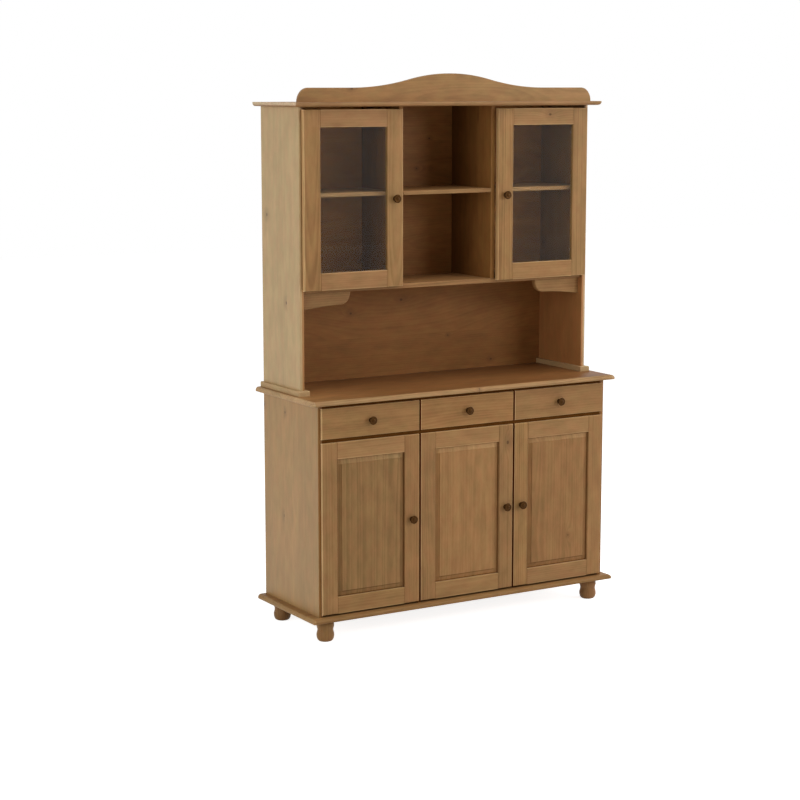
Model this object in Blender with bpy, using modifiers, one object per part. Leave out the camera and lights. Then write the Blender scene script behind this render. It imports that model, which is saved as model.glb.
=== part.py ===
"""A pine kitchen cupboard: a base with three drawers and three doors, and a glazed hutch on its counter.

Metres, +Z up, the front towards -Y. The origin is on the floor, under the middle of the whole cupboard.
"""

import math

import bmesh
import bpy
from mathutils import Matrix, Vector

# Clearances
SEAT_GAP = 0.0003            # left between two faces that rest on each other
CORNER_SEGMENTS = 3          # facets of a small rounded arris

# Counter, plinth and side panels of the base
COUNTER_WIDTH = 1.284
COUNTER_DEPTH = 0.430
COUNTER_THICKNESS = 0.0175
PLINTH_THICKNESS = 0.0175
MOULDING_TOP = 0.012         # radius of the moulded edge of counter and plinth, on top
MOULDING_BOTTOM = 0.003      # and underneath
MOULDING_SEGMENTS = 5
BASE_HEIGHT = 0.749          # between plinth and counter
SIDE_OVERHANG = 0.0328       # of the counter past the side panels
FRONT_OVERHANG = 0.0256      # of the counter past the carcass
PANEL_THICKNESS = 0.016      # of side panels and dividers
BACK_THICKNESS = 0.005
BACK_REBATE = 0.008          # how far the back panels reach into the side panels

# Frame in the base: rails under and over the drawers, shelf behind the doors
RAIL_DEPTH = 0.040
BASE_SHELF_RISE = 0.290      # of the shelf over the plinth
BASE_SHELF_THICKNESS = 0.016
BASE_SHELF_SETBACK = 0.060   # of the shelf behind the carcass front
HALVING_CLEARANCE = 0.0004   # each side, where shelf and divider are halved together

# Turned feet
FOOT_HEIGHT = 0.075
FOOT_BELLY = 0.0315          # radius of the lower bulge
FOOT_WAIST = 0.0282          # radius of the hollow between the bulges
FOOT_SHOULDER = 0.0312       # radius of the upper bulge
FOOT_NECK = 0.026            # radius under the plinth
FOOT_SOLE = 0.0205
FOOT_BELLY_HEIGHT = 0.022    # of the lower bulge's widest place
FOOT_WAIST_HEIGHT = 0.041
FOOT_SHOULDER_HEIGHT = 0.056
FOOT_NECK_HEIGHT = 0.0705
FOOT_FROM_SIDE = 0.072       # from the plinth's end to the foot's axis
FOOT_FROM_FRONT = 0.0525
FOOT_FACETS = 20
FOOT_EASE_STEPS = 5          # facets between a bulge's widest place and the waist

# Drawer fronts and doors of the base
SIDE_REVEAL = 0.0102         # strip of panel edge that shows beside the fronts
COLUMN_GAP = 0.006           # between two fronts side by side
DRAWER_TOP_GAP = 0.0109      # under the counter
DRAWER_FRONT_HEIGHT = 0.1084
DRAWER_DOOR_GAP = 0.0125
DOOR_FOOT_GAP = 0.0071       # over the plinth
LIP_THICKNESS = 0.0078       # of the part of a front that lies on the carcass
LIP_OVERLAP = 0.006          # of a front over the rails
STEP_DEPTH = 0.010           # of the part of a front that stands in its opening
STEP_INSET = 0.0075          # of that part from the front's outline
FRONT_ROUND = 0.0035
STILE_WIDTH = 0.061
RAIL_WIDTH = 0.060
INNER_ROUND = 0.0025         # arris round the panel or the glass

# Raised panels
GROOVE_DEPTH = 0.009
TONGUE_THICKNESS = 0.005
TONGUE_SETBACK = 0.0088      # of the tongue's face behind the door's face
TONGUE_SHORT = 0.0008        # left at the bottom of the groove
PANEL_MARGIN = 0.019         # width of the bevelled margin
PANEL_RISE = 0.0055          # of the bevel
PANEL_SHOULDER = 0.0012      # small upright step round the field
PANEL_BACK_RISE = 0.003

# Drawers
DRAWER_TRAVEL_STOP = 0.020   # behind a shut drawer
DRAWER_SIDE_GAP = 0.003
DRAWER_SIDE = 0.012          # thickness of sides and back
DRAWER_BOTTOM = 0.005
DRAWER_BOTTOM_RISE = 0.008   # of the bottom over the sides' lower edges
DRAWER_HEIGHT = 0.078
DRAWER_LIFT = 0.005          # over the rail
RUNNER_HEIGHT = 0.012
RUNNER_REACH = 0.009         # out of the panel
RUNNER_RISE = 0.034          # from the drawer's lower edge to the runner's top
RUNNER_CLEARANCE = 0.0006
RUNNER_BACK = 0.015          # left behind the runner
TOOL_BITE = 0.001            # how far a joined piece is let into the other

# Knobs
KNOB_RADIUS = 0.015
KNOB_LENGTH = 0.020
KNOB_ROSE = 0.0095           # radius of the flat against the wood
KNOB_ROSE_THICKNESS = 0.0030
KNOB_NECK = 0.0074
KNOB_HEAD_START = 0.0080     # where the head begins
KNOB_BUTTON = 0.0065         # radius of the raised centre
KNOB_DISH = 0.0020           # depth of the hollow round the centre
KNOB_RIM_ROUND = 0.0030
KNOB_RIM_DROP = 0.0045       # of the rim's middle behind the button
KNOB_ROSE_ROUND = 0.0015
KNOB_FACETS = 18
DOOR_KNOB_INSET = 0.0315     # from the door's free edge
DOOR_KNOB_HEIGHT = 0.3051    # over the door's lower edge
GLASS_KNOB_INSET = 0.0325
GLASS_KNOB_HEIGHT = 0.3097

# Hutch
HUTCH_DEPTH = 0.2805         # from the back to the front edge of the side panels
HUTCH_HEIGHT = 0.9785        # of the side panels
FOOT_RAIL_WIDTH = 0.041
FOOT_RAIL_HEIGHT = 0.018
FOOT_RAIL_OVERHANG = 0.0128  # past the side panel's outer face
FOOT_RAIL_FRONT = 0.0155     # past the side panel's front edge
FOOT_RAIL_ROUND = 0.003
DIVIDER_SETBACK = 0.0095     # of dividers and bottom behind the side panels' front edges
HUTCH_DIVIDER_THICKNESS = 0.016
HUTCH_BOTTOM_THICKNESS = 0.0168
BOTTOM_REVEAL = 0.0111       # of the bottom board under the glazed doors
HUTCH_SHELF_RISE = 0.314     # of the shelves over the bottom board
HUTCH_SHELF_THICKNESS = 0.0145
SIDE_SHELF_SETBACK = 0.012   # of the shelves behind the glass, from the dividers' front edges
BOARD_ROUND = 0.0015
CORNICE_OVERHANG = 0.0328    # past the side panels
CORNICE_THICKNESS = 0.015
CORNICE_FRONT = 0.0411       # past the side panels' front edges
CORNICE_OVOLO = 0.0115       # radius of the moulding under the front and the ends

# Pediment
PEDIMENT_FROM_END = 0.0275   # from the cornice's end to the pediment's
PEDIMENT_SHOULDER = 0.0497   # height of the straight stretches
PEDIMENT_CREST = 0.0995      # height in the middle
PEDIMENT_CREST_REACH = 0.400  # from the middle to where the wave runs out
PEDIMENT_CREST_TURN = 0.165  # from the middle to where the wave turns from hollow to round
PEDIMENT_END = 0.042         # length of the rounded ends
PEDIMENT_THICKNESS = 0.016
PEDIMENT_FRONT = 0.0105      # in front of the side panels' front edges
PEDIMENT_ROUND = 0.002
WAVE_STEPS = 20              # facets of half the wave
END_STEPS = 8

# Brackets under the hutch's bottom board
BRACKET_LENGTH = 0.199
BRACKET_THICKNESS = 0.017
BRACKET_SETBACK = 0.0245     # behind the side panels' front edges
BRACKET_DROP = 0.060         # at the side panel
BRACKET_THROAT = 0.0465      # drop at the top of the hollow
BRACKET_NOSE_LENGTH = 0.036
BRACKET_NOSE_DROP = 0.044
BRACKET_ROUND = 0.003
BRACKET_STEPS = 6

# Glazed doors
GLASS_DOOR_WIDTH = 0.3965
GLASS_DOOR_HEIGHT = 0.6212
GLASS_DOOR_THICKNESS = 0.0157
GLASS_DOOR_TOP_GAP = 0.0095  # under the cornice
GLASS_DOOR_REVEAL = 0.0112   # strip of panel edge that shows beside it
GLASS_DOOR_OVER_DIVIDER = 0.001
GLASS_STILE_WIDTH = 0.065
GLASS_RAIL_WIDTH = 0.060
GLASS_THICKNESS = 0.004
GLASS_SETBACK = 0.0062
GLASS_GROOVE = 0.008
GLASS_SHORT = 0.0008

# Concealed hinges
HINGE_FROM_END = 0.090       # from the door's end to the hinge
HINGE_CUP_FROM_PANEL = 0.020  # from the panel's inner face to the cup's centre
HINGE_CUP_RADIUS = 0.0155
HINGE_CUP_DEPTH = 0.010
HINGE_FLANGE_RADIUS = 0.0175
HINGE_FLANGE_THICKNESS = 0.0012
HINGE_TAB_LENGTH = 0.060
HINGE_TAB_WIDTH = 0.013
HINGE_ARM_WIDTH = 0.012
HINGE_PLATE_HEIGHT = 0.048
HINGE_PLATE_LENGTH = 0.018
HINGE_PLATE_START = 0.042    # behind the door's back
HINGE_PLATE_THICKNESS = 0.0025
HINGE_ARM_BACK = 0.076
HINGE_ARM_FOOT = 0.036
HINGE_ARM_RISE = 0.021       # from the panel to the arm's back
HINGE_ARM_SECTION = 0.0055
HINGE_NOSE_REACH = 0.007     # of the arm's nose into the cup
HINGE_FACETS = 20

# Finishes: linear colour, roughness, metallic
STAINED_PINE = ((0.305, 0.165, 0.070), 0.45, 0.0)
RAW_PINE = ((0.520, 0.360, 0.200), 0.60, 0.0)
BACK_BOARD = ((0.220, 0.110, 0.045), 0.60, 0.0)
BRONZE = ((0.045, 0.022, 0.008), 0.35, 0.6)
STEEL = ((0.560, 0.560, 0.580), 0.30, 1.0)
GLASS = ((0.850, 0.880, 0.870), 0.05, 0.0)

# Levels, from the floor up
PLINTH_Z = FOOT_HEIGHT
BASE_Z = PLINTH_Z + PLINTH_THICKNESS
COUNTER_Z = BASE_Z + BASE_HEIGHT
HUTCH_FOOT_Z = COUNTER_Z + COUNTER_THICKNESS
HUTCH_Z = HUTCH_FOOT_Z + FOOT_RAIL_HEIGHT
CORNICE_Z = HUTCH_Z + HUTCH_HEIGHT
PEDIMENT_Z = CORNICE_Z + CORNICE_THICKNESS

# Places across the depth: the knobs on the base stand a little past the counter
BASE_DEPTH = COUNTER_DEPTH - FRONT_OVERHANG
FRONTS_DEPTH = BASE_DEPTH + SEAT_GAP + LIP_THICKNESS
WHOLE_DEPTH = max(COUNTER_DEPTH, FRONTS_DEPTH + SEAT_GAP + KNOB_LENGTH)
BACK_Y = WHOLE_DEPTH / 2
COUNTER_FRONT_Y = BACK_Y - COUNTER_DEPTH
CARCASS_Y = BACK_Y - BASE_DEPTH
FRONTS_Y = BACK_Y - FRONTS_DEPTH
STEP_BACK_Y = FRONTS_Y + LIP_THICKNESS + STEP_DEPTH
BACK_FACE_Y = BACK_Y - BACK_THICKNESS
HUTCH_Y = BACK_Y - HUTCH_DEPTH
DIVIDER_Y = HUTCH_Y + DIVIDER_SETBACK
GLASS_DOOR_BACK_Y = HUTCH_Y - SEAT_GAP
GLASS_DOOR_Y = GLASS_DOOR_BACK_Y - GLASS_DOOR_THICKNESS

# Places across the width
SIDE_OUTER_X = COUNTER_WIDTH / 2 - SIDE_OVERHANG
SIDE_INNER_X = SIDE_OUTER_X - PANEL_THICKNESS
FRONTS_X = SIDE_OUTER_X - SIDE_REVEAL
COLUMN_WIDTH = (2 * FRONTS_X - 2 * COLUMN_GAP) / 3
DIVIDER_X = (COLUMN_WIDTH + COLUMN_GAP) / 2
GLASS_DOOR_OUTER_X = SIDE_OUTER_X - GLASS_DOOR_REVEAL
GLASS_DOOR_INNER_X = GLASS_DOOR_OUTER_X - GLASS_DOOR_WIDTH
HUTCH_DIVIDER_OUTER_X = GLASS_DOOR_INNER_X + GLASS_DOOR_OVER_DIVIDER
HUTCH_DIVIDER_INNER_X = HUTCH_DIVIDER_OUTER_X - HUTCH_DIVIDER_THICKNESS
CORNICE_END_X = SIDE_OUTER_X + CORNICE_OVERHANG
PEDIMENT_END_X = CORNICE_END_X - PEDIMENT_FROM_END
FOOT_RAIL_OUTER_X = SIDE_OUTER_X + FOOT_RAIL_OVERHANG
FOOT_RAIL_INNER_X = FOOT_RAIL_OUTER_X - FOOT_RAIL_WIDTH

# Heights of the fronts
DRAWER_TOP_Z = COUNTER_Z - DRAWER_TOP_GAP
DRAWER_BOTTOM_Z = DRAWER_TOP_Z - DRAWER_FRONT_HEIGHT
DOOR_TOP_Z = DRAWER_BOTTOM_Z - DRAWER_DOOR_GAP
DOOR_BOTTOM_Z = BASE_Z + DOOR_FOOT_GAP
DRAWER_RAIL_LOW_Z = DOOR_TOP_Z - LIP_OVERLAP
DRAWER_RAIL_TOP_Z = DRAWER_BOTTOM_Z + LIP_OVERLAP
TOP_RAIL_LOW_Z = DRAWER_TOP_Z - LIP_OVERLAP
BASE_SHELF_Z = BASE_Z + BASE_SHELF_RISE
GLASS_DOOR_TOP_Z = CORNICE_Z - GLASS_DOOR_TOP_GAP
GLASS_DOOR_BOTTOM_Z = GLASS_DOOR_TOP_Z - GLASS_DOOR_HEIGHT
HUTCH_BOTTOM_Z = GLASS_DOOR_BOTTOM_Z - BOTTOM_REVEAL
HUTCH_FLOOR_Z = HUTCH_BOTTOM_Z + HUTCH_BOTTOM_THICKNESS
HUTCH_SHELF_Z = HUTCH_FLOOR_Z + HUTCH_SHELF_RISE

SIDES = {"left": -1, "right": 1}
COLUMNS = ("left", "centre", "right")


def clear_scene():
    """Empties the scene and opens a collection for the parts and one for the tools that shape them."""
    for obj in list(bpy.data.objects):
        bpy.data.objects.remove(obj, do_unlink=True)
    parts = bpy.data.collections.new("kitchen_cupboard")
    tools = bpy.data.collections.new("shaping_tools")
    for collection in (parts, tools):
        bpy.context.scene.collection.children.link(collection)
    return parts, tools


PARTS, TOOLS = clear_scene()


def principled(name, finish):
    """One Principled material for one sub-part."""
    colour, roughness, metallic = finish
    material = bpy.data.materials.new(name)
    material.use_nodes = True
    shader = material.node_tree.nodes["Principled BSDF"]
    shader.inputs["Base Color"].default_value = (*colour, 1.0)
    shader.inputs["Roughness"].default_value = roughness
    shader.inputs["Metallic"].default_value = metallic
    material.diffuse_color = (*colour, 1.0)
    return material


def axis_empty(name, place):
    """An empty on a moving piece's axis, which carries the piece."""
    empty = bpy.data.objects.new(name, None)
    empty.location = place
    empty.empty_display_size = 0.03
    PARTS.objects.link(empty)
    return empty


def mesh_object(name, bm, carrier, collection):
    """Makes an object of a mesh built in world coordinates, with its origin on its carrier."""
    if carrier is not None:
        bmesh.ops.translate(bm, verts=bm.verts, vec=-carrier.location)
    mesh = bpy.data.meshes.new(name)
    bm.to_mesh(mesh)
    bm.free()
    obj = bpy.data.objects.new(name, mesh)
    obj.parent = carrier
    collection.objects.link(obj)
    return obj


def add_part(name, bm, finish, carrier=None):
    """Adds a sub-part."""
    obj = mesh_object(name, bm, carrier, PARTS)
    obj.data.materials.append(principled(name, finish))
    return obj


def shape_with(obj, bm, operation):
    """Joins a second mesh to a sub-part, or cuts it away."""
    tool = mesh_object(f"{obj.name}_{operation.lower()}_{len(obj.modifiers)}", bm, obj.parent, TOOLS)
    tool.hide_render = True
    tool.display_type = "WIRE"
    modifier = obj.modifiers.new(operation.title(), "BOOLEAN")
    modifier.operation = operation
    modifier.object = tool


def join(obj, bm):
    shape_with(obj, bm, "UNION")


def cut(obj, bm):
    shape_with(obj, bm, "DIFFERENCE")


def block(x, y, z):
    """A box between two places on each axis, given in either order."""
    bm = bmesh.new()
    bmesh.ops.create_cube(bm, size=1.0)
    for vert in bm.verts:
        vert.co = [max(span) if place > 0 else min(span) for place, span in zip(vert.co, (x, y, z))]
    return bm


def edges_at(bm, **planes):
    """The edges that lie in all the given planes, such as y=front, z=top."""
    index = {"x": 0, "y": 1, "z": 2}
    found = []
    for edge in bm.edges:
        ends = [vert.co for vert in edge.verts]
        if all(abs(end[index[axis]] - place) < 1e-5 for axis, place in planes.items() for end in ends):
            found.append(edge)
    return found


def face_towards(bm, direction):
    """The face that looks most nearly in a direction and lies furthest that way."""
    way = Vector(direction)
    ranking = lambda face: (round(face.normal.dot(way), 3), face.calc_center_median().dot(way))
    return max(bm.faces, key=ranking)


def round_edges(bm, edges, radius, segments=CORNER_SEGMENTS):
    bmesh.ops.bevel(bm, geom=edges, offset=radius, offset_type="OFFSET", segments=segments,
                    profile=0.5, affect="EDGES", clamp_overlap=True)


def step_face(bm, face, inset, rise):
    """Insets a face and then moves what is left of it out by the rise, with upright sides."""
    bmesh.ops.inset_individual(bm, faces=[face], thickness=inset, depth=0.0, use_even_offset=True)
    raised = bmesh.ops.extrude_discrete_faces(bm, faces=[face])["faces"][0]
    bmesh.ops.translate(bm, verts=raised.verts, vec=raised.normal * rise)
    return raised


def slope_face(bm, face, inset, rise):
    """Insets a face and raises what is left of it, with sloping sides."""
    bmesh.ops.inset_individual(bm, faces=[face], thickness=inset, depth=rise, use_even_offset=True)
    return face


def arc(centre, radii, start, end, steps):
    """Points on an ellipse's arc, in degrees from the first axis towards the second."""
    points = []
    for step in range(steps + 1):
        angle = math.radians(start + (end - start) * step / steps)
        points.append((centre[0] + radii[0] * math.cos(angle), centre[1] + radii[1] * math.sin(angle)))
    return points


def ease(start, end, steps):
    """Points on a soft S from one (radius, height) to another, upright at both ends."""
    points = []
    for step in range(1, steps + 1):
        share = step / steps
        turn = (1 - math.cos(math.pi * share)) / 2
        points.append((start[0] + (end[0] - start[0]) * turn, start[1] + (end[1] - start[1]) * share))
    return points


def slab(outline, y):
    """An outline of (x, z) points in an upright plane, given thickness from y[0] to y[1]."""
    bm = bmesh.new()
    face = bm.faces.new([bm.verts.new((x, y[0], z)) for x, z in outline])
    moved = bmesh.ops.extrude_face_region(bm, geom=[face])["geom"]
    verts = [item for item in moved if isinstance(item, bmesh.types.BMVert)]
    bmesh.ops.translate(bm, verts=verts, vec=(0, y[1] - y[0], 0))
    bmesh.ops.recalc_face_normals(bm, faces=bm.faces)
    return bm


def turned(name, profile, place, facets, finish, carrier=None, forward=False):
    """A turned piece: its profile runs from the far end to the foot, down the outer side."""
    mesh = bpy.data.meshes.new(name)
    mesh.from_pydata([(radius, 0, height) for radius, height in profile],
                     [(i, i + 1) for i in range(len(profile) - 1)], [])
    obj = bpy.data.objects.new(name, mesh)
    obj.parent = carrier
    obj.location = Vector(place) - (carrier.location if carrier else Vector())
    if forward:
        obj.rotation_euler = (math.radians(90), 0, 0)
    screw = obj.modifiers.new("Turning", "SCREW")
    screw.steps = facets
    screw.render_steps = facets
    screw.use_merge_vertices = True
    screw.merge_threshold = 0.00001
    screw.use_normal_calculate = True
    obj.data.materials.append(principled(name, finish))
    PARTS.objects.link(obj)
    return obj


def moulded_board(name, width, y, z):
    """A board whose front edge and ends are moulded above and below, square at the back."""
    half = width / 2
    bm = block((-half, half), y, z)
    for level, radius, segments in ((z[1], MOULDING_TOP, MOULDING_SEGMENTS),
                                    (z[0], MOULDING_BOTTOM, CORNER_SEGMENTS)):
        ends = edges_at(bm, x=-half, z=level) + edges_at(bm, x=half, z=level)
        round_edges(bm, edges_at(bm, y=y[0], z=level) + ends, radius, segments)
    return add_part(name, bm, STAINED_PINE)


def board(name, x, y, z, front_round=BOARD_ROUND, finish=STAINED_PINE):
    """A plain board with its front arrises eased."""
    bm = block(x, y, z)
    if front_round:
        upright = abs(x[1] - x[0]) < abs(z[1] - z[0])
        edges = []
        for place in (x if upright else z):
            edges += edges_at(bm, y=y[0], **{"x" if upright else "z": place})
        round_edges(bm, edges, front_round)
    return add_part(name, bm, finish)


def column_span(column):
    """Left and right end of the fronts in one column."""
    left = -FRONTS_X + COLUMNS.index(column) * (COLUMN_WIDTH + COLUMN_GAP)
    return left, left + COLUMN_WIDTH


def opening_span(column):
    """The drawer opening in one column, between the panels' faces."""
    half = PANEL_THICKNESS / 2
    edges = {"left": (-SIDE_INNER_X, -DIVIDER_X - half),
             "centre": (-DIVIDER_X + half, DIVIDER_X - half),
             "right": (DIVIDER_X + half, SIDE_INNER_X)}
    return edges[column]


def drawer_levels():
    """Lower edge, upper edge and runner top of the drawer boxes."""
    low = DRAWER_RAIL_TOP_Z + DRAWER_LIFT
    return low, low + DRAWER_HEIGHT, low + RUNNER_RISE


def runner(face_x, towards):
    """A runner strip let into a panel's face, for the drawer on its side."""
    top = drawer_levels()[2]
    return block((face_x - towards * TOOL_BITE, face_x + towards * RUNNER_REACH),
                 (STEP_BACK_Y + TOOL_BITE, BACK_FACE_Y - RUNNER_BACK), (top - RUNNER_HEIGHT, top))


def build_plinth_and_counter():
    front = (COUNTER_FRONT_Y, BACK_Y)
    moulded_board("plinth_board", COUNTER_WIDTH, front, (PLINTH_Z + SEAT_GAP, BASE_Z))
    moulded_board("counter_top", COUNTER_WIDTH, front, (COUNTER_Z + SEAT_GAP, HUTCH_FOOT_Z))


def back_rebate(side, z):
    """The rebate in a side panel that takes the edge of a back panel."""
    inner = SIDE_INNER_X + BACK_REBATE + SEAT_GAP
    return block((side * (SIDE_INNER_X - BACK_REBATE), side * inner),
                 (BACK_FACE_Y - SEAT_GAP, BACK_Y + TOOL_BITE), (z[0] - TOOL_BITE, z[1] + TOOL_BITE))


def build_base_sides():
    levels = (BASE_Z + SEAT_GAP, COUNTER_Z)
    for name, side in SIDES.items():
        panel = board(f"base_side_{name}", (side * SIDE_INNER_X, side * SIDE_OUTER_X),
                      (CARCASS_Y, BACK_Y), levels)
        cut(panel, back_rebate(side, levels))
        join(panel, runner(side * SIDE_INNER_X, -side))


def build_centre_frame():
    """The full divider, the drawer rail, the top rail, the short divider and four runners, as one frame."""
    half = PANEL_THICKNESS / 2
    depth = (CARCASS_Y, BACK_FACE_Y - SEAT_GAP)
    rail_depth = (CARCASS_Y, CARCASS_Y + RAIL_DEPTH)
    inner = SIDE_INNER_X - SEAT_GAP
    frame = add_part("base_centre_frame", block((-DIVIDER_X - half, -DIVIDER_X + half), depth,
                                                (BASE_Z + SEAT_GAP, COUNTER_Z)), STAINED_PINE)
    join(frame, block((-inner, inner), rail_depth, (DRAWER_RAIL_LOW_Z, DRAWER_RAIL_TOP_Z)))
    join(frame, block((-inner, inner), rail_depth, (TOP_RAIL_LOW_Z, COUNTER_Z)))
    join(frame, block((DIVIDER_X - half, DIVIDER_X + half), depth, (DRAWER_RAIL_LOW_Z, COUNTER_Z)))
    for middle in (-DIVIDER_X, DIVIDER_X):
        for towards in (-1, 1):
            join(frame, runner(middle + towards * half, towards))
    shelf_middle = (CARCASS_Y + BASE_SHELF_SETBACK + BACK_FACE_Y) / 2
    cut(frame, block((-DIVIDER_X - PANEL_THICKNESS, -DIVIDER_X + PANEL_THICKNESS),
                     (shelf_middle, BACK_Y),
                     (BASE_SHELF_Z - SEAT_GAP, BASE_SHELF_Z + BASE_SHELF_THICKNESS + SEAT_GAP)))


def build_base_back_and_shelf():
    half = PANEL_THICKNESS / 2
    reach = SIDE_INNER_X + BACK_REBATE
    board("base_back", (-reach, reach), (BACK_FACE_Y, BACK_Y), (BASE_Z + SEAT_GAP, COUNTER_Z),
          front_round=0, finish=BACK_BOARD)
    inner = SIDE_INNER_X - SEAT_GAP
    front = CARCASS_Y + BASE_SHELF_SETBACK
    shelf = board("base_shelf", (-inner, inner), (front, BACK_FACE_Y - SEAT_GAP),
                  (BASE_SHELF_Z, BASE_SHELF_Z + BASE_SHELF_THICKNESS))
    shelf_middle = (front + BACK_FACE_Y) / 2
    cut(shelf, block((-DIVIDER_X - half - HALVING_CLEARANCE, -DIVIDER_X + half + HALVING_CLEARANCE),
                     (front - TOOL_BITE, shelf_middle + SEAT_GAP),
                     (BASE_SHELF_Z - TOOL_BITE, BASE_SHELF_Z + BASE_SHELF_THICKNESS + TOOL_BITE)))


def foot_profile():
    """Two bulges with a soft waist between them, rounded in to the sole."""
    shoulder = (FOOT_SHOULDER, FOOT_SHOULDER_HEIGHT)
    waist = (FOOT_WAIST, FOOT_WAIST_HEIGHT)
    belly = (FOOT_BELLY, FOOT_BELLY_HEIGHT)
    shoulder_round = (FOOT_SHOULDER - FOOT_NECK, FOOT_NECK_HEIGHT - FOOT_SHOULDER_HEIGHT)
    sole_round = (FOOT_BELLY - FOOT_SOLE, FOOT_BELLY_HEIGHT)
    profile = [(0, FOOT_HEIGHT), (FOOT_NECK, FOOT_HEIGHT)]
    profile += arc((FOOT_NECK, FOOT_SHOULDER_HEIGHT), shoulder_round, 90, 0, 4)
    profile += ease(shoulder, waist, FOOT_EASE_STEPS)
    profile += ease(waist, belly, FOOT_EASE_STEPS)
    profile += arc((FOOT_SOLE, FOOT_BELLY_HEIGHT), sole_round, 0, -90, 5)[1:]
    profile.append((0, 0))
    return profile


def build_feet():
    across = COUNTER_WIDTH / 2 - FOOT_FROM_SIDE
    rows = {"front": COUNTER_FRONT_Y + FOOT_FROM_FRONT, "back": BACK_Y - FOOT_FROM_FRONT}
    for row, y in rows.items():
        for name, side in SIDES.items():
            turned(f"foot_{row}_{name}", foot_profile(), (side * across, y, 0), FOOT_FACETS, STAINED_PINE)


def knob_profile():
    """From the face of the head back to the wood: button, dish, rim, neck and rose."""
    end = KNOB_LENGTH
    rim_middle = (KNOB_RADIUS - KNOB_RIM_ROUND, end - KNOB_RIM_DROP)
    profile = [(0, end)]
    profile += arc((0, end - KNOB_DISH), (KNOB_BUTTON, KNOB_DISH), 60, 0, 2)
    profile += arc(rim_middle, (KNOB_RIM_ROUND, KNOB_RIM_ROUND), 110, -60, 4)
    profile += [(KNOB_NECK, KNOB_HEAD_START), (KNOB_NECK, KNOB_ROSE_THICKNESS)]
    profile += arc((KNOB_ROSE - KNOB_ROSE_ROUND, KNOB_ROSE_THICKNESS - KNOB_ROSE_ROUND),
                   (KNOB_ROSE_ROUND, KNOB_ROSE_ROUND), 90, 0, 2)
    profile += [(KNOB_ROSE, 0), (0, 0)]
    return profile


def add_knob(name, x, face_y, z, carrier):
    place = (x, face_y - SEAT_GAP, z)
    turned(name, knob_profile(), place, KNOB_FACETS, BRONZE, carrier, forward=True)


def build_drawers():
    low, high, runner_top = drawer_levels()
    back = BACK_FACE_Y - DRAWER_TRAVEL_STOP
    for column in COLUMNS:
        x = column_span(column)
        middle = (x[0] + x[1]) / 2
        z_middle = (DRAWER_BOTTOM_Z + DRAWER_TOP_Z) / 2
        carrier = axis_empty(f"drawer_{column}_slide", (middle, FRONTS_Y, z_middle))

        front = block(x, (FRONTS_Y, FRONTS_Y + LIP_THICKNESS), (DRAWER_BOTTOM_Z, DRAWER_TOP_Z))
        round_edges(front, edges_at(front, y=FRONTS_Y), FRONT_ROUND)
        step_face(front, face_towards(front, (0, 1, 0)), STEP_INSET, STEP_DEPTH)
        add_part(f"drawer_front_{column}", front, STAINED_PINE, carrier)

        opening = opening_span(column)
        outer = (opening[0] + DRAWER_SIDE_GAP, opening[1] - DRAWER_SIDE_GAP)
        inner = (outer[0] + DRAWER_SIDE, outer[1] - DRAWER_SIDE)
        start = STEP_BACK_Y + SEAT_GAP
        floor = low + DRAWER_BOTTOM_RISE
        box = add_part(f"drawer_box_{column}", block(outer, (start, back), (low, high)), RAW_PINE, carrier)
        cut(box, block(inner, (start - TOOL_BITE, back - DRAWER_SIDE),
                       (floor + DRAWER_BOTTOM, high + TOOL_BITE)))
        cut(box, block(inner, (start - TOOL_BITE, back - DRAWER_SIDE), (low - TOOL_BITE, floor)))
        groove = (runner_top - RUNNER_HEIGHT - RUNNER_CLEARANCE, runner_top + SEAT_GAP)
        bite = RUNNER_REACH - DRAWER_SIDE_GAP + RUNNER_CLEARANCE
        for edge, way in ((outer[0], 1), (outer[1], -1)):
            cut(box, block((edge - way * TOOL_BITE, edge + way * bite),
                           (start - TOOL_BITE, back + TOOL_BITE), groove))
        add_knob(f"drawer_knob_{column}", middle, FRONTS_Y, z_middle, carrier)


def frame_section(thickness, groove, lipped):
    """The section of a door's stiles and rails, as (edge it is measured from, distance, depth)."""
    section = []
    for edge, radius, start, end in (("outer", FRONT_ROUND, 0, 90), ("inner", INNER_ROUND, 90, 0)):
        for offset, depth in arc((radius, radius), (-radius, -radius), start, end, CORNER_SEGMENTS):
            section.append((edge, offset, depth))
    front, back, reach = groove
    section += [("inner", 0, front), ("inner", reach, front), ("inner", reach, back), ("inner", 0, back)]
    section += [("inner", 0, thickness)]
    if lipped:
        section += [("outer", STEP_INSET, thickness), ("outer", STEP_INSET, LIP_THICKNESS),
                    ("outer", 0, LIP_THICKNESS)]
    else:
        section += [("outer", 0, thickness)]
    return section


def swept_frame(section, x, z, face_y, stile, rail):
    """Carries a section round a rectangle, with a mitre in each corner."""
    bm = bmesh.new()
    rings = []
    for x_end, x_way, z_end, z_way in ((x[0], 1, z[0], 1), (x[1], -1, z[0], 1),
                                       (x[1], -1, z[1], -1), (x[0], 1, z[1], -1)):
        ring = []
        for edge, distance, depth in section:
            across = distance if edge == "outer" else stile - distance
            along = distance if edge == "outer" else rail - distance
            ring.append(bm.verts.new((x_end + x_way * across, face_y + depth, z_end + z_way * along)))
        rings.append(ring)
    count = len(section)
    for corner, ring in enumerate(rings):
        following = rings[(corner + 1) % len(rings)]
        for i in range(count):
            j = (i + 1) % count
            bm.faces.new((ring[i], ring[j], following[j], following[i]))
    bmesh.ops.recalc_face_normals(bm, faces=bm.faces)
    return bm


def cylinder_along_y(x, y, z, radius):
    """A round bar from y[0] to y[1]."""
    bm = bmesh.new()
    bmesh.ops.create_cone(bm, cap_ends=True, segments=HINGE_FACETS, radius1=radius, radius2=radius,
                          depth=y[1] - y[0])
    bmesh.ops.rotate(bm, verts=bm.verts, cent=(0, 0, 0), matrix=Matrix.Rotation(math.pi / 2, 3, "X"))
    bmesh.ops.translate(bm, verts=bm.verts, vec=(x, (y[0] + y[1]) / 2, z))
    return bm


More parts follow.
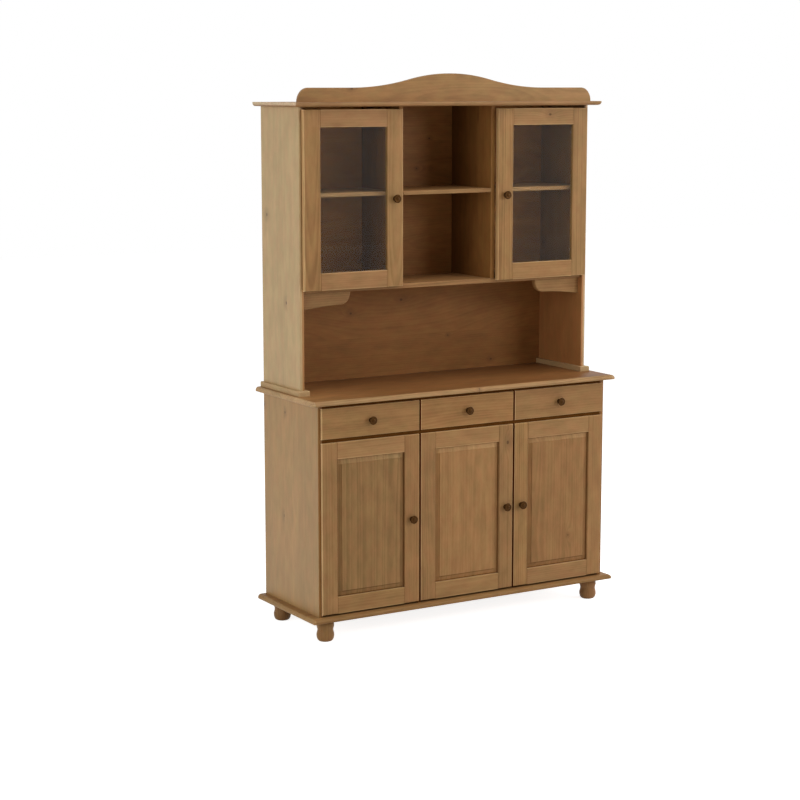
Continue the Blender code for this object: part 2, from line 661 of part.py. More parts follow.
def hinge_levels(z):
    return {"lower": z[0] + HINGE_FROM_END, "upper": z[1] - HINGE_FROM_END}


def add_hinge_cups(frame, panel_x, inward, back_y, z):
    """The steel flange and cup of each hinge, let into the back of a door."""
    x = panel_x + inward * HINGE_CUP_FROM_PANEL
    flange = (back_y - TOOL_BITE, back_y + HINGE_FLANGE_THICKNESS)
    for level in hinge_levels(z).values():
        join(frame, cylinder_along_y(x, flange, level, HINGE_FLANGE_RADIUS))
        join(frame, block((x - HINGE_TAB_WIDTH / 2, x + HINGE_TAB_WIDTH / 2), flange,
                          (level - HINGE_TAB_LENGTH / 2, level + HINGE_TAB_LENGTH / 2)))
        cut(frame, cylinder_along_y(x, (back_y - HINGE_CUP_DEPTH, back_y + 2 * HINGE_FLANGE_THICKNESS),
                                    level, HINGE_CUP_RADIUS))


def hinge_outline():
    """The arm's side view, as (distance from the panel, distance behind the door's back)."""
    rise = HINGE_ARM_RISE
    under = rise - HINGE_ARM_SECTION
    heel = HINGE_FLANGE_THICKNESS + 0.008
    return [(0, HINGE_ARM_FOOT), (under * 0.6, HINGE_ARM_FOOT - 0.012), (under, heel),
            (under, 0.002 - HINGE_NOSE_REACH), (under + 0.0015, -HINGE_NOSE_REACH),
            (rise - 0.001, -HINGE_NOSE_REACH), (rise, 0.002 - HINGE_NOSE_REACH), (rise, heel),
            (rise * 0.75, HINGE_PLATE_START), (rise * 0.5, HINGE_ARM_BACK - 0.006),
            (rise * 0.25, HINGE_ARM_BACK), (0, HINGE_ARM_BACK)]


def add_hinge_arms(name, panel_x, inward, back_y, z):
    """The arms and plates of the hinges, on the face of the panel beside the door."""
    seat = panel_x + inward * SEAT_GAP
    for place, level in hinge_levels(z).items():
        bm = bmesh.new()
        low = level - HINGE_ARM_WIDTH / 2
        face = bm.faces.new([bm.verts.new((seat + inward * across, back_y + behind, low))
                             for across, behind in hinge_outline()])
        moved = bmesh.ops.extrude_face_region(bm, geom=[face])["geom"]
        verts = [item for item in moved if isinstance(item, bmesh.types.BMVert)]
        bmesh.ops.translate(bm, verts=verts, vec=(0, 0, HINGE_ARM_WIDTH))
        bmesh.ops.recalc_face_normals(bm, faces=bm.faces)
        arm = add_part(f"hinge_{name}_{place}", bm, STEEL)
        join(arm, block((seat, seat + inward * HINGE_PLATE_THICKNESS),
                        (back_y + HINGE_PLATE_START, back_y + HINGE_PLATE_START + HINGE_PLATE_LENGTH),
                        (level - HINGE_PLATE_HEIGHT / 2, level + HINGE_PLATE_HEIGHT / 2)))


def raised_panel(name, x, z, carrier):
    """A panel with a tongue in the frame's groove, a bevelled margin and a raised field."""
    held = GROOVE_DEPTH - TONGUE_SHORT
    front = FRONTS_Y + TONGUE_SETBACK
    bm = block((x[0] - held, x[1] + held), (front, front + TONGUE_THICKNESS), (z[0] - held, z[1] + held))
    face = slope_face(bm, face_towards(bm, (0, -1, 0)), held, 0.0)
    face = slope_face(bm, face, PANEL_MARGIN, PANEL_RISE)
    step_face(bm, face, PANEL_SHOULDER / 2, PANEL_SHOULDER)
    step_face(bm, face_towards(bm, (0, 1, 0)), held + TOOL_BITE, PANEL_BACK_RISE)
    return add_part(name, bm, STAINED_PINE, carrier)


def build_base_doors():
    thickness = LIP_THICKNESS + STEP_DEPTH
    back_y = FRONTS_Y + thickness
    z = (DOOR_BOTTOM_Z, DOOR_TOP_Z)
    groove = (TONGUE_SETBACK - SEAT_GAP, TONGUE_SETBACK + TONGUE_THICKNESS + SEAT_GAP, GROOVE_DEPTH)
    for column in COLUMNS:
        x = column_span(column)
        hung_right = column == "right"
        hinge_x = x[1] if hung_right else x[0]
        inward = -1 if hung_right else 1
        free_x = x[0] if hung_right else x[1]
        panel_x = SIDE_INNER_X if hung_right else opening_span(column)[0]
        carrier = axis_empty(f"base_door_{column}_axis", (hinge_x, FRONTS_Y, z[0]))

        section = frame_section(thickness, groove, lipped=True)
        members = swept_frame(section, x, z, FRONTS_Y, STILE_WIDTH, RAIL_WIDTH)
        frame = add_part(f"base_door_frame_{column}", members, STAINED_PINE, carrier)
        add_hinge_cups(frame, panel_x, inward, back_y, z)
        raised_panel(f"base_door_panel_{column}", (x[0] + STILE_WIDTH, x[1] - STILE_WIDTH),
                     (z[0] + RAIL_WIDTH, z[1] - RAIL_WIDTH), carrier)
        add_knob(f"base_door_knob_{column}", free_x - inward * DOOR_KNOB_INSET, FRONTS_Y,
                 z[0] + DOOR_KNOB_HEIGHT, carrier)
        add_hinge_arms(f"base_{column}", panel_x, inward, back_y, z)


def build_glass_doors():
    z = (GLASS_DOOR_BOTTOM_Z, GLASS_DOOR_TOP_Z)
    groove = (GLASS_SETBACK - SEAT_GAP, GLASS_SETBACK + GLASS_THICKNESS + SEAT_GAP, GLASS_GROOVE)
    held = GLASS_GROOVE - GLASS_SHORT
    for name, side in SIDES.items():
        x = sorted((side * GLASS_DOOR_OUTER_X, side * GLASS_DOOR_INNER_X))
        carrier = axis_empty(f"glass_door_{name}_axis", (side * GLASS_DOOR_OUTER_X, GLASS_DOOR_Y, z[0]))

        section = frame_section(GLASS_DOOR_THICKNESS, groove, lipped=False)
        members = swept_frame(section, x, z, GLASS_DOOR_Y, GLASS_STILE_WIDTH, GLASS_RAIL_WIDTH)
        frame = add_part(f"glass_door_frame_{name}", members, STAINED_PINE, carrier)
        add_hinge_cups(frame, side * SIDE_INNER_X, -side, GLASS_DOOR_BACK_Y, z)
        pane = block((x[0] + GLASS_STILE_WIDTH - held, x[1] - GLASS_STILE_WIDTH + held),
                     (GLASS_DOOR_Y + GLASS_SETBACK, GLASS_DOOR_Y + GLASS_SETBACK + GLASS_THICKNESS),
                     (z[0] + GLASS_RAIL_WIDTH - held, z[1] - GLASS_RAIL_WIDTH + held))
        add_part(f"glass_door_pane_{name}", pane, GLASS, carrier)
        add_knob(f"glass_door_knob_{name}", side * (GLASS_DOOR_INNER_X + GLASS_KNOB_INSET), GLASS_DOOR_Y,
                 z[0] + GLASS_KNOB_HEIGHT, carrier)
        add_hinge_arms(f"glass_{name}", side * SIDE_INNER_X, -side, GLASS_DOOR_BACK_Y, z)


def build_hutch_sides():
    levels = (HUTCH_Z + SEAT_GAP, CORNICE_Z)
    for name, side in SIDES.items():
        rail_y = HUTCH_Y - FOOT_RAIL_FRONT
        x = (side * FOOT_RAIL_INNER_X, side * FOOT_RAIL_OUTER_X)
        bm = block(x, (rail_y, BACK_Y), (HUTCH_FOOT_Z + SEAT_GAP, HUTCH_Z))
        edges = edges_at(bm, y=rail_y, z=HUTCH_Z) + edges_at(bm, x=x[1], z=HUTCH_Z)
        round_edges(bm, edges, FOOT_RAIL_ROUND)
        add_part(f"hutch_foot_rail_{name}", bm, STAINED_PINE)
        panel = board(f"hutch_side_{name}", (side * SIDE_INNER_X, side * SIDE_OUTER_X),
                      (HUTCH_Y, BACK_Y), levels)
        cut(panel, back_rebate(side, levels))


def build_hutch_boards():
    """Bottom, dividers and shelves between the hutch's side panels."""
    inner = SIDE_INNER_X - SEAT_GAP
    back = BACK_FACE_Y - SEAT_GAP
    board("hutch_bottom", (-inner, inner), (DIVIDER_Y, back), (HUTCH_BOTTOM_Z, HUTCH_FLOOR_Z))
    shelf_z = (HUTCH_SHELF_Z, HUTCH_SHELF_Z + HUTCH_SHELF_THICKNESS)
    for name, side in SIDES.items():
        board(f"hutch_divider_{name}", (side * HUTCH_DIVIDER_INNER_X, side * HUTCH_DIVIDER_OUTER_X),
              (DIVIDER_Y, back), (HUTCH_FLOOR_Z + SEAT_GAP, CORNICE_Z))
        board(f"hutch_shelf_{name}", (side * (HUTCH_DIVIDER_OUTER_X + SEAT_GAP), side * inner),
              (DIVIDER_Y + SIDE_SHELF_SETBACK, back), shelf_z)
    centre = HUTCH_DIVIDER_INNER_X - SEAT_GAP
    board("hutch_shelf_centre", (-centre, centre), (DIVIDER_Y, back), shelf_z)


def build_hutch_back():
    """The hutch's back panel, notched over the foot rails."""
    reach = SIDE_INNER_X + BACK_REBATE
    notch_x = FOOT_RAIL_INNER_X - SEAT_GAP
    low = HUTCH_FOOT_Z + SEAT_GAP
    notch_z = HUTCH_Z + SEAT_GAP
    outline = [(-notch_x, low), (notch_x, low), (notch_x, notch_z), (reach, notch_z),
               (reach, CORNICE_Z), (-reach, CORNICE_Z), (-reach, notch_z), (-notch_x, notch_z)]
    add_part("hutch_back", slab(outline, (BACK_FACE_Y, BACK_Y)), BACK_BOARD)


def build_cornice():
    end = CORNICE_END_X
    front = HUTCH_Y - CORNICE_FRONT
    z = (CORNICE_Z + SEAT_GAP, PEDIMENT_Z)
    bm = block((-end, end), (front, BACK_Y), z)
    ends = edges_at(bm, x=-end, z=z[0]) + edges_at(bm, x=end, z=z[0])
    round_edges(bm, edges_at(bm, y=front, z=z[0]) + ends, CORNICE_OVOLO, MOULDING_SEGMENTS)
    add_part("cornice", bm, STAINED_PINE)


def wave_height(x):
    """Height of the pediment's wave: a round crest that turns into a hollow and runs out level."""
    rise = PEDIMENT_CREST - PEDIMENT_SHOULDER
    reach = PEDIMENT_CREST_REACH
    turn = PEDIMENT_CREST_TURN
    if abs(x) < turn:
        return PEDIMENT_CREST - rise * x * x / (turn * reach)
    return PEDIMENT_SHOULDER + rise * (reach - abs(x)) ** 2 / (reach * (reach - turn))


def build_pediment():
    foot = PEDIMENT_Z + SEAT_GAP
    steps = 2 * WAVE_STEPS
    reach = PEDIMENT_CREST_REACH
    crest = []
    for step in range(steps + 1):
        x = reach - 2 * reach * step / steps
        crest.append((x, PEDIMENT_Z + wave_height(x)))
    rounding = (PEDIMENT_END, PEDIMENT_SHOULDER - SEAT_GAP)
    outline = arc((PEDIMENT_END_X - PEDIMENT_END, foot), rounding, 0, 90, END_STEPS)
    outline += crest
    outline += arc((PEDIMENT_END - PEDIMENT_END_X, foot), rounding, 90, 180, END_STEPS)
    front = HUTCH_Y - PEDIMENT_FRONT
    bm = slab(outline, (front, front + PEDIMENT_THICKNESS))
    edges = [edge for edge in edges_at(bm, y=front) if edge not in edges_at(bm, y=front, z=foot)]
    round_edges(bm, edges, PEDIMENT_ROUND, 2)
    add_part("pediment", bm, STAINED_PINE)


def build_brackets():
    """Brackets with a hollow under their length and a round nose at the inner end."""
    top = HUTCH_BOTTOM_Z - SEAT_GAP
    start = SIDE_INNER_X - SEAT_GAP
    tip = start - BRACKET_LENGTH
    throat = tip + BRACKET_NOSE_LENGTH
    hollow_length = start - throat
    hollow = BRACKET_DROP - BRACKET_THROAT
    profile = [(start, top), (start, top - BRACKET_DROP)]
    for step in range(1, BRACKET_STEPS + 1):
        share = step / BRACKET_STEPS
        profile.append((start - hollow_length * share,
                        top - BRACKET_DROP + hollow * math.sin(share * math.pi / 2)))
    nose_centre = (throat, top - BRACKET_THROAT + BRACKET_NOSE_DROP)
    profile += arc(nose_centre, (-BRACKET_NOSE_LENGTH, -BRACKET_NOSE_DROP), 90, 0, BRACKET_STEPS)[1:]
    profile.append((tip, top))
    y = HUTCH_Y + BRACKET_SETBACK
    for name, side in SIDES.items():
        bm = slab([(side * x, z) for x, z in profile], (y, y + BRACKET_THICKNESS))
        edges = [edge for edge in edges_at(bm, y=y)
                 if edge not in edges_at(bm, y=y, z=top) and edge not in edges_at(bm, y=y, x=side * start)]
        round_edges(bm, edges, BRACKET_ROUND, 2)
        add_part(f"bracket_{name}", bm, STAINED_PINE)


def shade_round_pieces():
    """Smooths the turned pieces, with their arrises left sharp."""
    for obj in PARTS.objects:
        if obj.type == "MESH" and any(modifier.type == "SCREW" for modifier in obj.modifiers):
            obj.modifiers["Turning"].use_smooth_shade = True


def main():
    build_plinth_and_counter()
    build_base_sides()
    build_centre_frame()
    build_base_back_and_shelf()
    build_feet()
    build_drawers()
    build_base_doors()
    build_hutch_sides()
    build_hutch_boards()
    build_hutch_back()
    build_cornice()
    build_pediment()
    build_brackets()
    build_glass_doors()
    shade_round_pieces()


main()
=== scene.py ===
"""Finishes the kitchen cupboard: stained pine, framed doors, turned feet and knobs, hinges and a studio."""

import math
import random

import bmesh
import bpy
from mathutils import Matrix, Vector


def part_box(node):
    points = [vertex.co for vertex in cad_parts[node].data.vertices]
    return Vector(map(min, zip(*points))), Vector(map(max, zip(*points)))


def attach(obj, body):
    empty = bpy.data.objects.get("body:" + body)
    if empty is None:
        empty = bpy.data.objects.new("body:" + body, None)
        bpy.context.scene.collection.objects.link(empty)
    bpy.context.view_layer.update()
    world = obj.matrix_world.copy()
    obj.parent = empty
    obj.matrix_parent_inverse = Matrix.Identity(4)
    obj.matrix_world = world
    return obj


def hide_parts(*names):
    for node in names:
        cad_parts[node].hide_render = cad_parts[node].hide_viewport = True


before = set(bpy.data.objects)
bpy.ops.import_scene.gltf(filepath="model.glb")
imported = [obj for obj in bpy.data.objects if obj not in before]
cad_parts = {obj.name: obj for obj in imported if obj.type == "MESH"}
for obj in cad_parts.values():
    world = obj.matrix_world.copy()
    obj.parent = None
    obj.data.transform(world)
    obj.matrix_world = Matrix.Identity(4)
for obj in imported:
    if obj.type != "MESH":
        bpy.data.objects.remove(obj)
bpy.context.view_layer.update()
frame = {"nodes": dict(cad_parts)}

# Doors and drawer fronts
LIP_THICKNESS = 0.0078
STEP_DEPTH = 0.010
STEP_INSET = 0.0075
FRONT_ROUND = 0.0035
INNER_ROUND = 0.0025
STILE_WIDTH = 0.061
RAIL_WIDTH = 0.060
GLASS_DOOR_THICKNESS = 0.0157
GLASS_STILE_WIDTH = 0.065
GLASS_RAIL_WIDTH = 0.060
PANEL_GROOVE = (0.0085, 0.0141, 0.009)  # front, back, depth
GLASS_GROOVE = (0.0059, 0.0105, 0.008)
JOINT_GAP = 0.00025  # hairline where a rail meets a stile
JOINT_ARRIS = 0.0008
NEIGHBOURS = {"left": (1,), "centre": (-1, 1), "right": (-1,)}  # sides of a front with others beside it

# Drawer boxes
BOX_SIDE = 0.012
BOX_ROUND = 0.002
BOX_BOTTOM = 0.005
BOX_BOTTOM_RISE = 0.008
RUNNER_GROOVE = (0.0214, 0.0342)  # levels above the box's lower edge
RUNNER_GROOVE_DEPTH = 0.0066

# Side panels and back panels, and the nails of the backs
PANEL_THICKNESS = 0.016  # of side panels and dividers
NAIL_RADIUS = 0.0019
NAIL_SIDES = 16
NAIL_PROUD = 0.0004
NAIL_SUNK = 0.001
NAIL_CLEARANCE = 0.0001  # from a nail's head to the cupboard's back
NAIL_INSET = 0.004
NAIL_SPACING = 0.12

# Raised panels; a bevel or a shoulder is (in, up)
TONGUE_SETBACK = 0.0088
TONGUE_THICKNESS = 0.005
TONGUE_REACH = 0.0082  # in its groove
PANEL_BEVEL = (0.019, 0.0049)
PANEL_SHOULDER = (0.0003, 0.0020)
BACK_MARGIN = 0.001
BACK_BEVEL = (0.012, 0.003)

# Moulded boards: radius above, radius below, and how far in the mouldings' painted light and shade reach
MOULDED_BOARDS = {
    "counter_top": (0.012, 0.003, 0.009),
    "plinth_board": (0.012, 0.003, 0.009),
    "cornice": (0, 0.0115, 0.002),
}

# Turned pieces; a point is (radius, height)
TURNED_SIDES = 48
FOOT_HEIGHT = 0.075
FOOT_SOLE, FOOT_ROUND, FOOT_NECK = 0.0205, 0.011, 0.026
FOOT_BELLY, FOOT_WAIST, FOOT_SHOULDER = (0.0315, 0.022), (0.0282, 0.041), (0.0312, 0.056)
FOOT_SHOULDER_RISE = 0.0145
KNOB_SEAT = (0.0095, 0.0)
KNOB_ARCS = (  # centre, radii, start, end, steps
    ((0.0080, 0.0015), (0.0015, 0.0015), 0, 90, 5),  # rose
    ((0.0094, 0.0056), (0.0020, 0.0024), 225, 180, 4),  # neck, lower half
    ((0.0104, 0.0062), (0.0030, 0.0024), 180, 90, 5),  # neck, upper half
    ((0.0120, 0.0155), (0.0030, 0.0030), -60, 110, 10),  # head's rim
    ((0.0, 0.0180), (0.0065, 0.0020), 0, 75, 6),  # button
)

# Hinges
HINGE_FROM_END = 0.090
CUP_FROM_PANEL = 0.020
CUP_RADIUS = 0.0155
CUP_DEPTH = 0.010
CUP_CLEARANCE = 0.0002
DRILL_OVERRUN = 0.002
FLANGE_THICKNESS = 0.0012
CUP_OUTLINE = (
    (CUP_RADIUS, 0.0), (CUP_RADIUS, CUP_DEPTH),
    (0.0175, CUP_DEPTH), (0.0175, CUP_DEPTH + 0.0009), (0.0172, CUP_DEPTH + FLANGE_THICKNESS),
    (0.0150, CUP_DEPTH + FLANGE_THICKNESS), (0.0145, CUP_DEPTH + 0.0007),
    (0.0143, 0.0012), (0.0135, 0.0006),
)
EAR_WIDTH, EAR_HEIGHT, EAR_ROUND = 0.013, 0.015, 0.003
SCREW_SPACING = 0.0225  # from the middle of a hinge to each of its screws
SCREW_HEAD = ((0.0038, 0.0), (0.0038, 0.0004), (0.0032, 0.0012), (0.0022, 0.0016), (0.0014, 0.0017),
              (0.0012, 0.0006), (0.0002, 0.0003))

# Studio: an area lamp is (name, place, aim, size, watts)
LAMPS = (
    ("right softbox", (4.8, -1.5, 2.2), (0, 0, 1.1), 2.4, 125),
    ("front softbox", (3.0, -5.0, 2.8), (0, 0, 1.0), 2.0, 84),
    ("left softbox", (-5.0, -2.6, 2.2), (0, 0, 1.1), 2.4, 55),
    ("side softbox", (-5.2, 0.6, 2.0), (-0.6, 0, 1.1), 1.8, 61),
    ("top softbox", (0, -1.2, 4.6), (0, 0, 1.0), 2.4, 60),
)
WORLD_LIGHT = 0.24
FLOOR_SIZE = 30
FLOOR_GREY = 0.80
FLOOR_GLOW = 0.85  # brings the lit floor to white where it is seen
CAMERA_LENS = 88.648
CAMERA_SENSOR = 36
CAMERA_PLACE = (-3.8038, -6.0475, 1.9285)
CAMERA_DIP = 9.0798  # degrees below level
CAMERA_TURN = -31.0229

SIDES = {"left": -1, "right": 1}
COLUMNS = ("left", "centre", "right")


# Modelling by hand

def start_clean():
    """Leaves nothing selected before a new primitive comes in."""
    bpy.ops.object.select_all(action="DESELECT")


def keep(name):
    """Names the new object and sets its place and size into its mesh."""
    obj = bpy.context.object
    obj.name = name
    obj.data.name = name
    bpy.ops.object.transform_apply(location=True, rotation=True, scale=True)
    return obj


def block(name, low, high):
    """A sawn block between two corners."""
    start_clean()
    low, high = Vector(low), Vector(high)
    bpy.ops.mesh.primitive_cube_add(size=1, location=(low + high) / 2)
    bpy.context.object.scale = high - low
    return keep(name)


def edit(obj):
    """Starts the shaping of a piece."""
    bpy.context.view_layer.objects.active = obj
    bpy.ops.object.mode_set(mode="EDIT")


def leave(obj):
    """Ends the shaping of a piece with its faces pointing out."""
    bpy.ops.mesh.select_all(action="SELECT")
    bpy.ops.mesh.normals_make_consistent(inside=False)
    bpy.ops.object.mode_set(mode="OBJECT")
    return obj


def pick(obj, kind, wanted):
    """Selects the edges or faces in edit mode whose corners and normal are the wanted ones."""
    bpy.ops.mesh.select_mode(type=kind)
    bpy.ops.mesh.select_all(action="DESELECT")
    bm = bmesh.from_edit_mesh(obj.data)
    for item in bm.edges if kind == "EDGE" else bm.faces:
        item.select_set(bool(wanted(item)))
    bm.select_flush_mode()
    bmesh.update_edit_mesh(obj.data)


def on(place, axis):
    """Tells whether an edge or a face lies in a plane across an axis."""
    return lambda item: all(abs(vert.co[axis] - place) < 1e-5 for vert in item.verts)


def between(axis, start, end):
    """Tells whether an edge or a face lies between two places on an axis."""
    return lambda item: all(start - 1e-5 < vert.co[axis] < end + 1e-5 for vert in item.verts)


def runs_along(axis):
    """Tells whether an edge crosses more than half a millimetre on an axis."""
    return lambda edge: abs(edge.verts[0].co[axis] - edge.verts[1].co[axis]) > 0.0005


def end_of(box, axis, side):
    """The place of a box's lower or upper end on an axis."""
    return box[0 if side < 0 else 1][axis]


def both(*tests):
    """Joins tests of which all have to hold."""
    return lambda item: all(test(item) for test in tests)


def either(*tests):
    """Joins tests of which one is enough."""
    return lambda item: any(test(item) for test in tests)


def saw(place, axis):
    """Cuts all round the piece across an axis, without parting it."""
    point, way = Vector((0, 0, 0)), Vector((0, 0, 0))
    point[axis] = place
    way[axis] = 1
    bpy.ops.mesh.select_all(action="SELECT")
    bpy.ops.mesh.bisect(plane_co=point, plane_no=way)


def round_over(obj, wanted, radius, segments=4):
    """Rounds the wanted edges."""
    pick(obj, "EDGE", wanted)
    bpy.ops.mesh.bevel(offset=radius, offset_type="OFFSET", segments=segments, profile=0.5, affect="EDGES")


def pull(obj, wanted, way):
    """Extrudes the wanted faces along a way."""
    pick(obj, "FACE", wanted)
    bpy.ops.mesh.extrude_region_move(TRANSFORM_OT_translate={"value": way})


def apply_modifier(obj, kind, **settings):
    """Gives a piece a modifier and sets its result into the mesh."""
    start_clean()
    obj.select_set(True)
    bpy.context.view_layer.objects.active = obj
    modifier = obj.modifiers.new(kind.title(), kind)
    for key, value in settings.items():
        setattr(modifier, key, value)
    bpy.ops.object.modifier_apply(modifier=modifier.name)


def smooth(obj, angle=40):
    """Shades the rounded arrises softly and keeps the flats flat."""
    start_clean()
    obj.select_set(True)
    bpy.context.view_layer.objects.active = obj
    bpy.ops.object.shade_smooth_by_angle(angle=math.radians(angle))
    apply_modifier(obj, "WEIGHTED_NORMAL", keep_sharp=True, weight=50)


def drill(obj, x, z, y, radius):
    """Drills a blind hole from the back, from y[1] in to y[0]."""
    start_clean()
    bpy.ops.mesh.primitive_cylinder_add(
        vertices=TURNED_SIDES, radius=radius, depth=y[1] - y[0],
        location=(x, (y[0] + y[1]) / 2, z), rotation=(math.pi / 2, 0, 0))
    bit = keep("drill_bit")
    apply_modifier(obj, "BOOLEAN", operation="DIFFERENCE", object=bit)
    bpy.data.objects.remove(bit, do_unlink=True)


def turned(name, outline, place, way=(0, 0, 1)):
    """Turns a piece: a disc at its foot is extruded and sized along an outline of (radius, height)."""
    start_clean()
    radius, height = outline[0]
    bpy.ops.mesh.primitive_circle_add(vertices=TURNED_SIDES, radius=radius, fill_type="NGON",
                                      location=(0, 0, height))
    obj = keep(name)
    edit(obj)
    bpy.ops.mesh.select_all(action="SELECT")
    for (radius, height), (next_radius, next_height) in zip(outline, outline[1:]):
        bpy.ops.mesh.extrude_region_move(TRANSFORM_OT_translate={"value": (0, 0, next_height - height)})
        ratio = next_radius / radius
        bpy.ops.transform.resize(value=(ratio, ratio, 1), center_override=(0, 0, next_height))
    leave(obj)
    obj.rotation_mode = "QUATERNION"
    obj.rotation_quaternion = Vector((0, 0, 1)).rotation_difference(Vector(way))
    obj.location = place
    obj.select_set(True)
    bpy.ops.object.transform_apply(location=True, rotation=True, scale=True)
    obj.rotation_mode = "XYZ"
    return obj


def arc(centre, radii, start, end, steps):
    """Points on an ellipse's arc, in degrees from the first axis towards the second."""
    points = []
    for step in range(steps + 1):
        angle = math.radians(start + (end - start) * step / steps)
        points.append((centre[0] + radii[0] * math.cos(angle), centre[1] + radii[1] * math.sin(angle)))
    return points


# Nodes

def fill(tree, socket, value):
    """Wires a socket to another, or sets its value."""
    if isinstance(value, bpy.types.NodeSocket):
        tree.links.new(value, socket)
    else:
        socket.default_value = value


def fill_inputs(tree, node, values):
    """Fills a node's inputs by their names."""
    for label, value in values.items():
        fill(tree, node.inputs[label], value)


def new_material(name):
    """A material with its nodes and its shader."""
    material = bpy.data.materials.new(name)
    material.use_nodes = True
    return material, material.node_tree, material.node_tree.nodes["Principled BSDF"]


def maths(tree, operation, *values, clamp=False):
    """The result of a sum on numbers or sockets."""
    node = tree.nodes.new("ShaderNodeMath")
    node.operation = operation
    node.use_clamp = clamp
    for socket, value in zip(node.inputs, values):
        fill(tree, socket, value)
    return node.outputs[0]


def times(tree, first, second):
    """The product of two numbers or sockets."""
    return maths(tree, "MULTIPLY", first, second)


def along(tree, operation, *values):
    """Vector maths; a plain number is the scale."""
    node = tree.nodes.new("ShaderNodeVectorMath")
    node.operation = operation
    for index, value in enumerate(values):
        socket = node.inputs["Scale"] if operation == "SCALE" and index else node.inputs[index]
        fill(tree, socket, value)
    return node.outputs[0]


def length(tree, vector):
    """How long a vector is."""
    node = tree.nodes.new("ShaderNodeVectorMath")
    node.operation = "LENGTH"
    fill(tree, node.inputs[0], vector)
    return node.outputs["Value"]


def joined(tree, *values):
    """A vector from its three numbers."""
    node = tree.nodes.new("ShaderNodeCombineXYZ")
    for socket, value in zip(node.inputs, values):
        fill(tree, socket, value)
    return node.outputs[0]


def parted(tree, vector):
    """A vector's three numbers."""
    node = tree.nodes.new("ShaderNodeSeparateXYZ")
    fill(tree, node.inputs[0], vector)
    return node.outputs


def noise(tree, vector, detail=2.0, roughness=0.5):
    """Soft noise between 0 and 1, one cell a unit."""
    node = tree.nodes.new("ShaderNodeTexNoise")
    fill_inputs(tree, node, {"Vector": vector, "Scale": 1.0, "Detail": detail, "Roughness": roughness})
    return node.outputs["Fac"]


def dice(tree, number):
    """The same chance colour for the same number."""
    node = tree.nodes.new("ShaderNodeTexWhiteNoise")
    node.noise_dimensions = "1D"
    fill(tree, node.inputs["W"], number)
    return node.outputs["Value"], node.outputs["Color"]


def fade(tree, value, start, end, low=0.0, high=1.0):
    """Eases from low to high while the value goes from start to end."""
    node = tree.nodes.new("ShaderNodeMapRange")
    node.interpolation_type = "SMOOTHSTEP"
    fill_inputs(tree, node, {"Value": value, "From Min": start, "From Max": end,
                             "To Min": low, "To Max": high})
    return node.outputs["Result"]


def blend(tree, share, first, second, how="MIX"):
    """Mixes two colours."""
    node = tree.nodes.new("ShaderNodeMix")
    node.data_type = "RGBA"
    node.blend_type = how
    fill(tree, node.inputs["Factor"], share)
    fill(tree, node.inputs[6], first)
    fill(tree, node.inputs[7], second)
    return node.outputs[2]


def new_group(name, inputs, outputs):
    """A shader node group with named sockets; an input is (name, kind, value)."""
    tree = bpy.data.node_groups.new(name, "ShaderNodeTree")
    for label, kind, value in inputs:
        socket = tree.interface.new_socket(label, in_out="INPUT", socket_type=f"NodeSocket{kind}")
        if value is not None:
            socket.default_value = value
    for label, kind in outputs:
        tree.interface.new_socket(label, in_out="OUTPUT", socket_type=f"NodeSocket{kind}")
    return tree, tree.nodes.new("NodeGroupInput").outputs, tree.nodes.new("NodeGroupOutput").inputs


# What both wood groups are given
GRAIN_INPUTS = [
    ("Vector", "Vector", None), ("Stave Width", "Float", 0.1), ("Ring Spacing", "Float", 0.008),
    ("Pith Depth", "Float", 0.04), ("Waviness", "Float", 0.01), ("Knot Share", "Float", 0.3),
    ("Seed", "Float", 0.0),
]

# Noise in the wood: stretch along, across and through the grain, shift, detail, roughness
PATTERNS = {
    "Fibre": ((16.0, 420.0, 420.0), (0.0, 0.0, 0.0), 3.0, 0.65),
    "Mottle": ((11.0, 30.0, 30.0), (0.0, 0.0, 0.0), 3.0, 0.6),
    "Streak": ((1.3, 38.0, 38.0), (0.0, 0.0, 0.0), 2.0, 0.5),
    "Warmth": ((17.0, 34.0, 34.0), (5.0, 3.0, 8.0), 2.0, 0.5),
}
PATTERN_STRENGTHS = {"Fibre": 0.50, "Mottle": 0.65, "Streak": 0.45}  # how much each darkens the wood

# Where chance shapes the wood, a pair is (what it adds, the least)
STAVE_SLIDE = 9.0  # furthest that a stave is shifted along its log
STAVE_SALT, RING_SALT = 3.7, 31.0  # keep the chances of staves and of rings apart
PITH_SHARE = (1.1, 0.45)  # of the given depth
SWAY = ((1.6, 9.0, 9.0), 1.5)  # the grain's waves across it: stretch, detail
DIVE = ((0.9, 3.0, 3.0), 1.0)  # and in depth
DIVE_SHARE = 2.6  # of the pith's depth
YEARS = (30.0, 3.0)  # uneven growth: changes a metre, and rings that it shifts
LATE_WOOD = (0.05, 0.78)  # where it starts and is fullest in a ring
VIGOUR = (0.65, 0.35)  # a ring's late wood

KNOT_CELLS = (4.5, 6.5)  # a metre, along and across
KNOT_SIZE = (0.0050, 0.0035)
KNOT_SHAPE = (0.75, 1.0, 0.0)
KNOT_HEART = 0.35  # of its radius, fully dark
KNOT_HALO = (4.0, 0.30)  # radii, strength
KNOT_SWIRL = ((26.0, 75.0, 0.0), 1.7)  # fall a metre, and rings that it shifts

LATE_MIDDLE, STAIN_MIDDLE = 0.4, 0.4
STAVE_TONES = (0.10, 0.95)
MOTTLE_TONES = (1.06, 0.94)
HUES = ((0.98, 1.01, 0.99, 1), (1.03, 0.985, 0.99, 1))  # cool and warm patches
KNOT_STAIN = ((0.060, 0.026, 0.010, 1), 0.75)  # colour, strength
ROUGHNESS, LATE_GLOSS, FIBRE_ROUGHNESS = 0.46, 0.06, 0.12
LATE_RISE, FIBRE_RISE, KNOT_DIP = 0.35, 0.5, 0.5


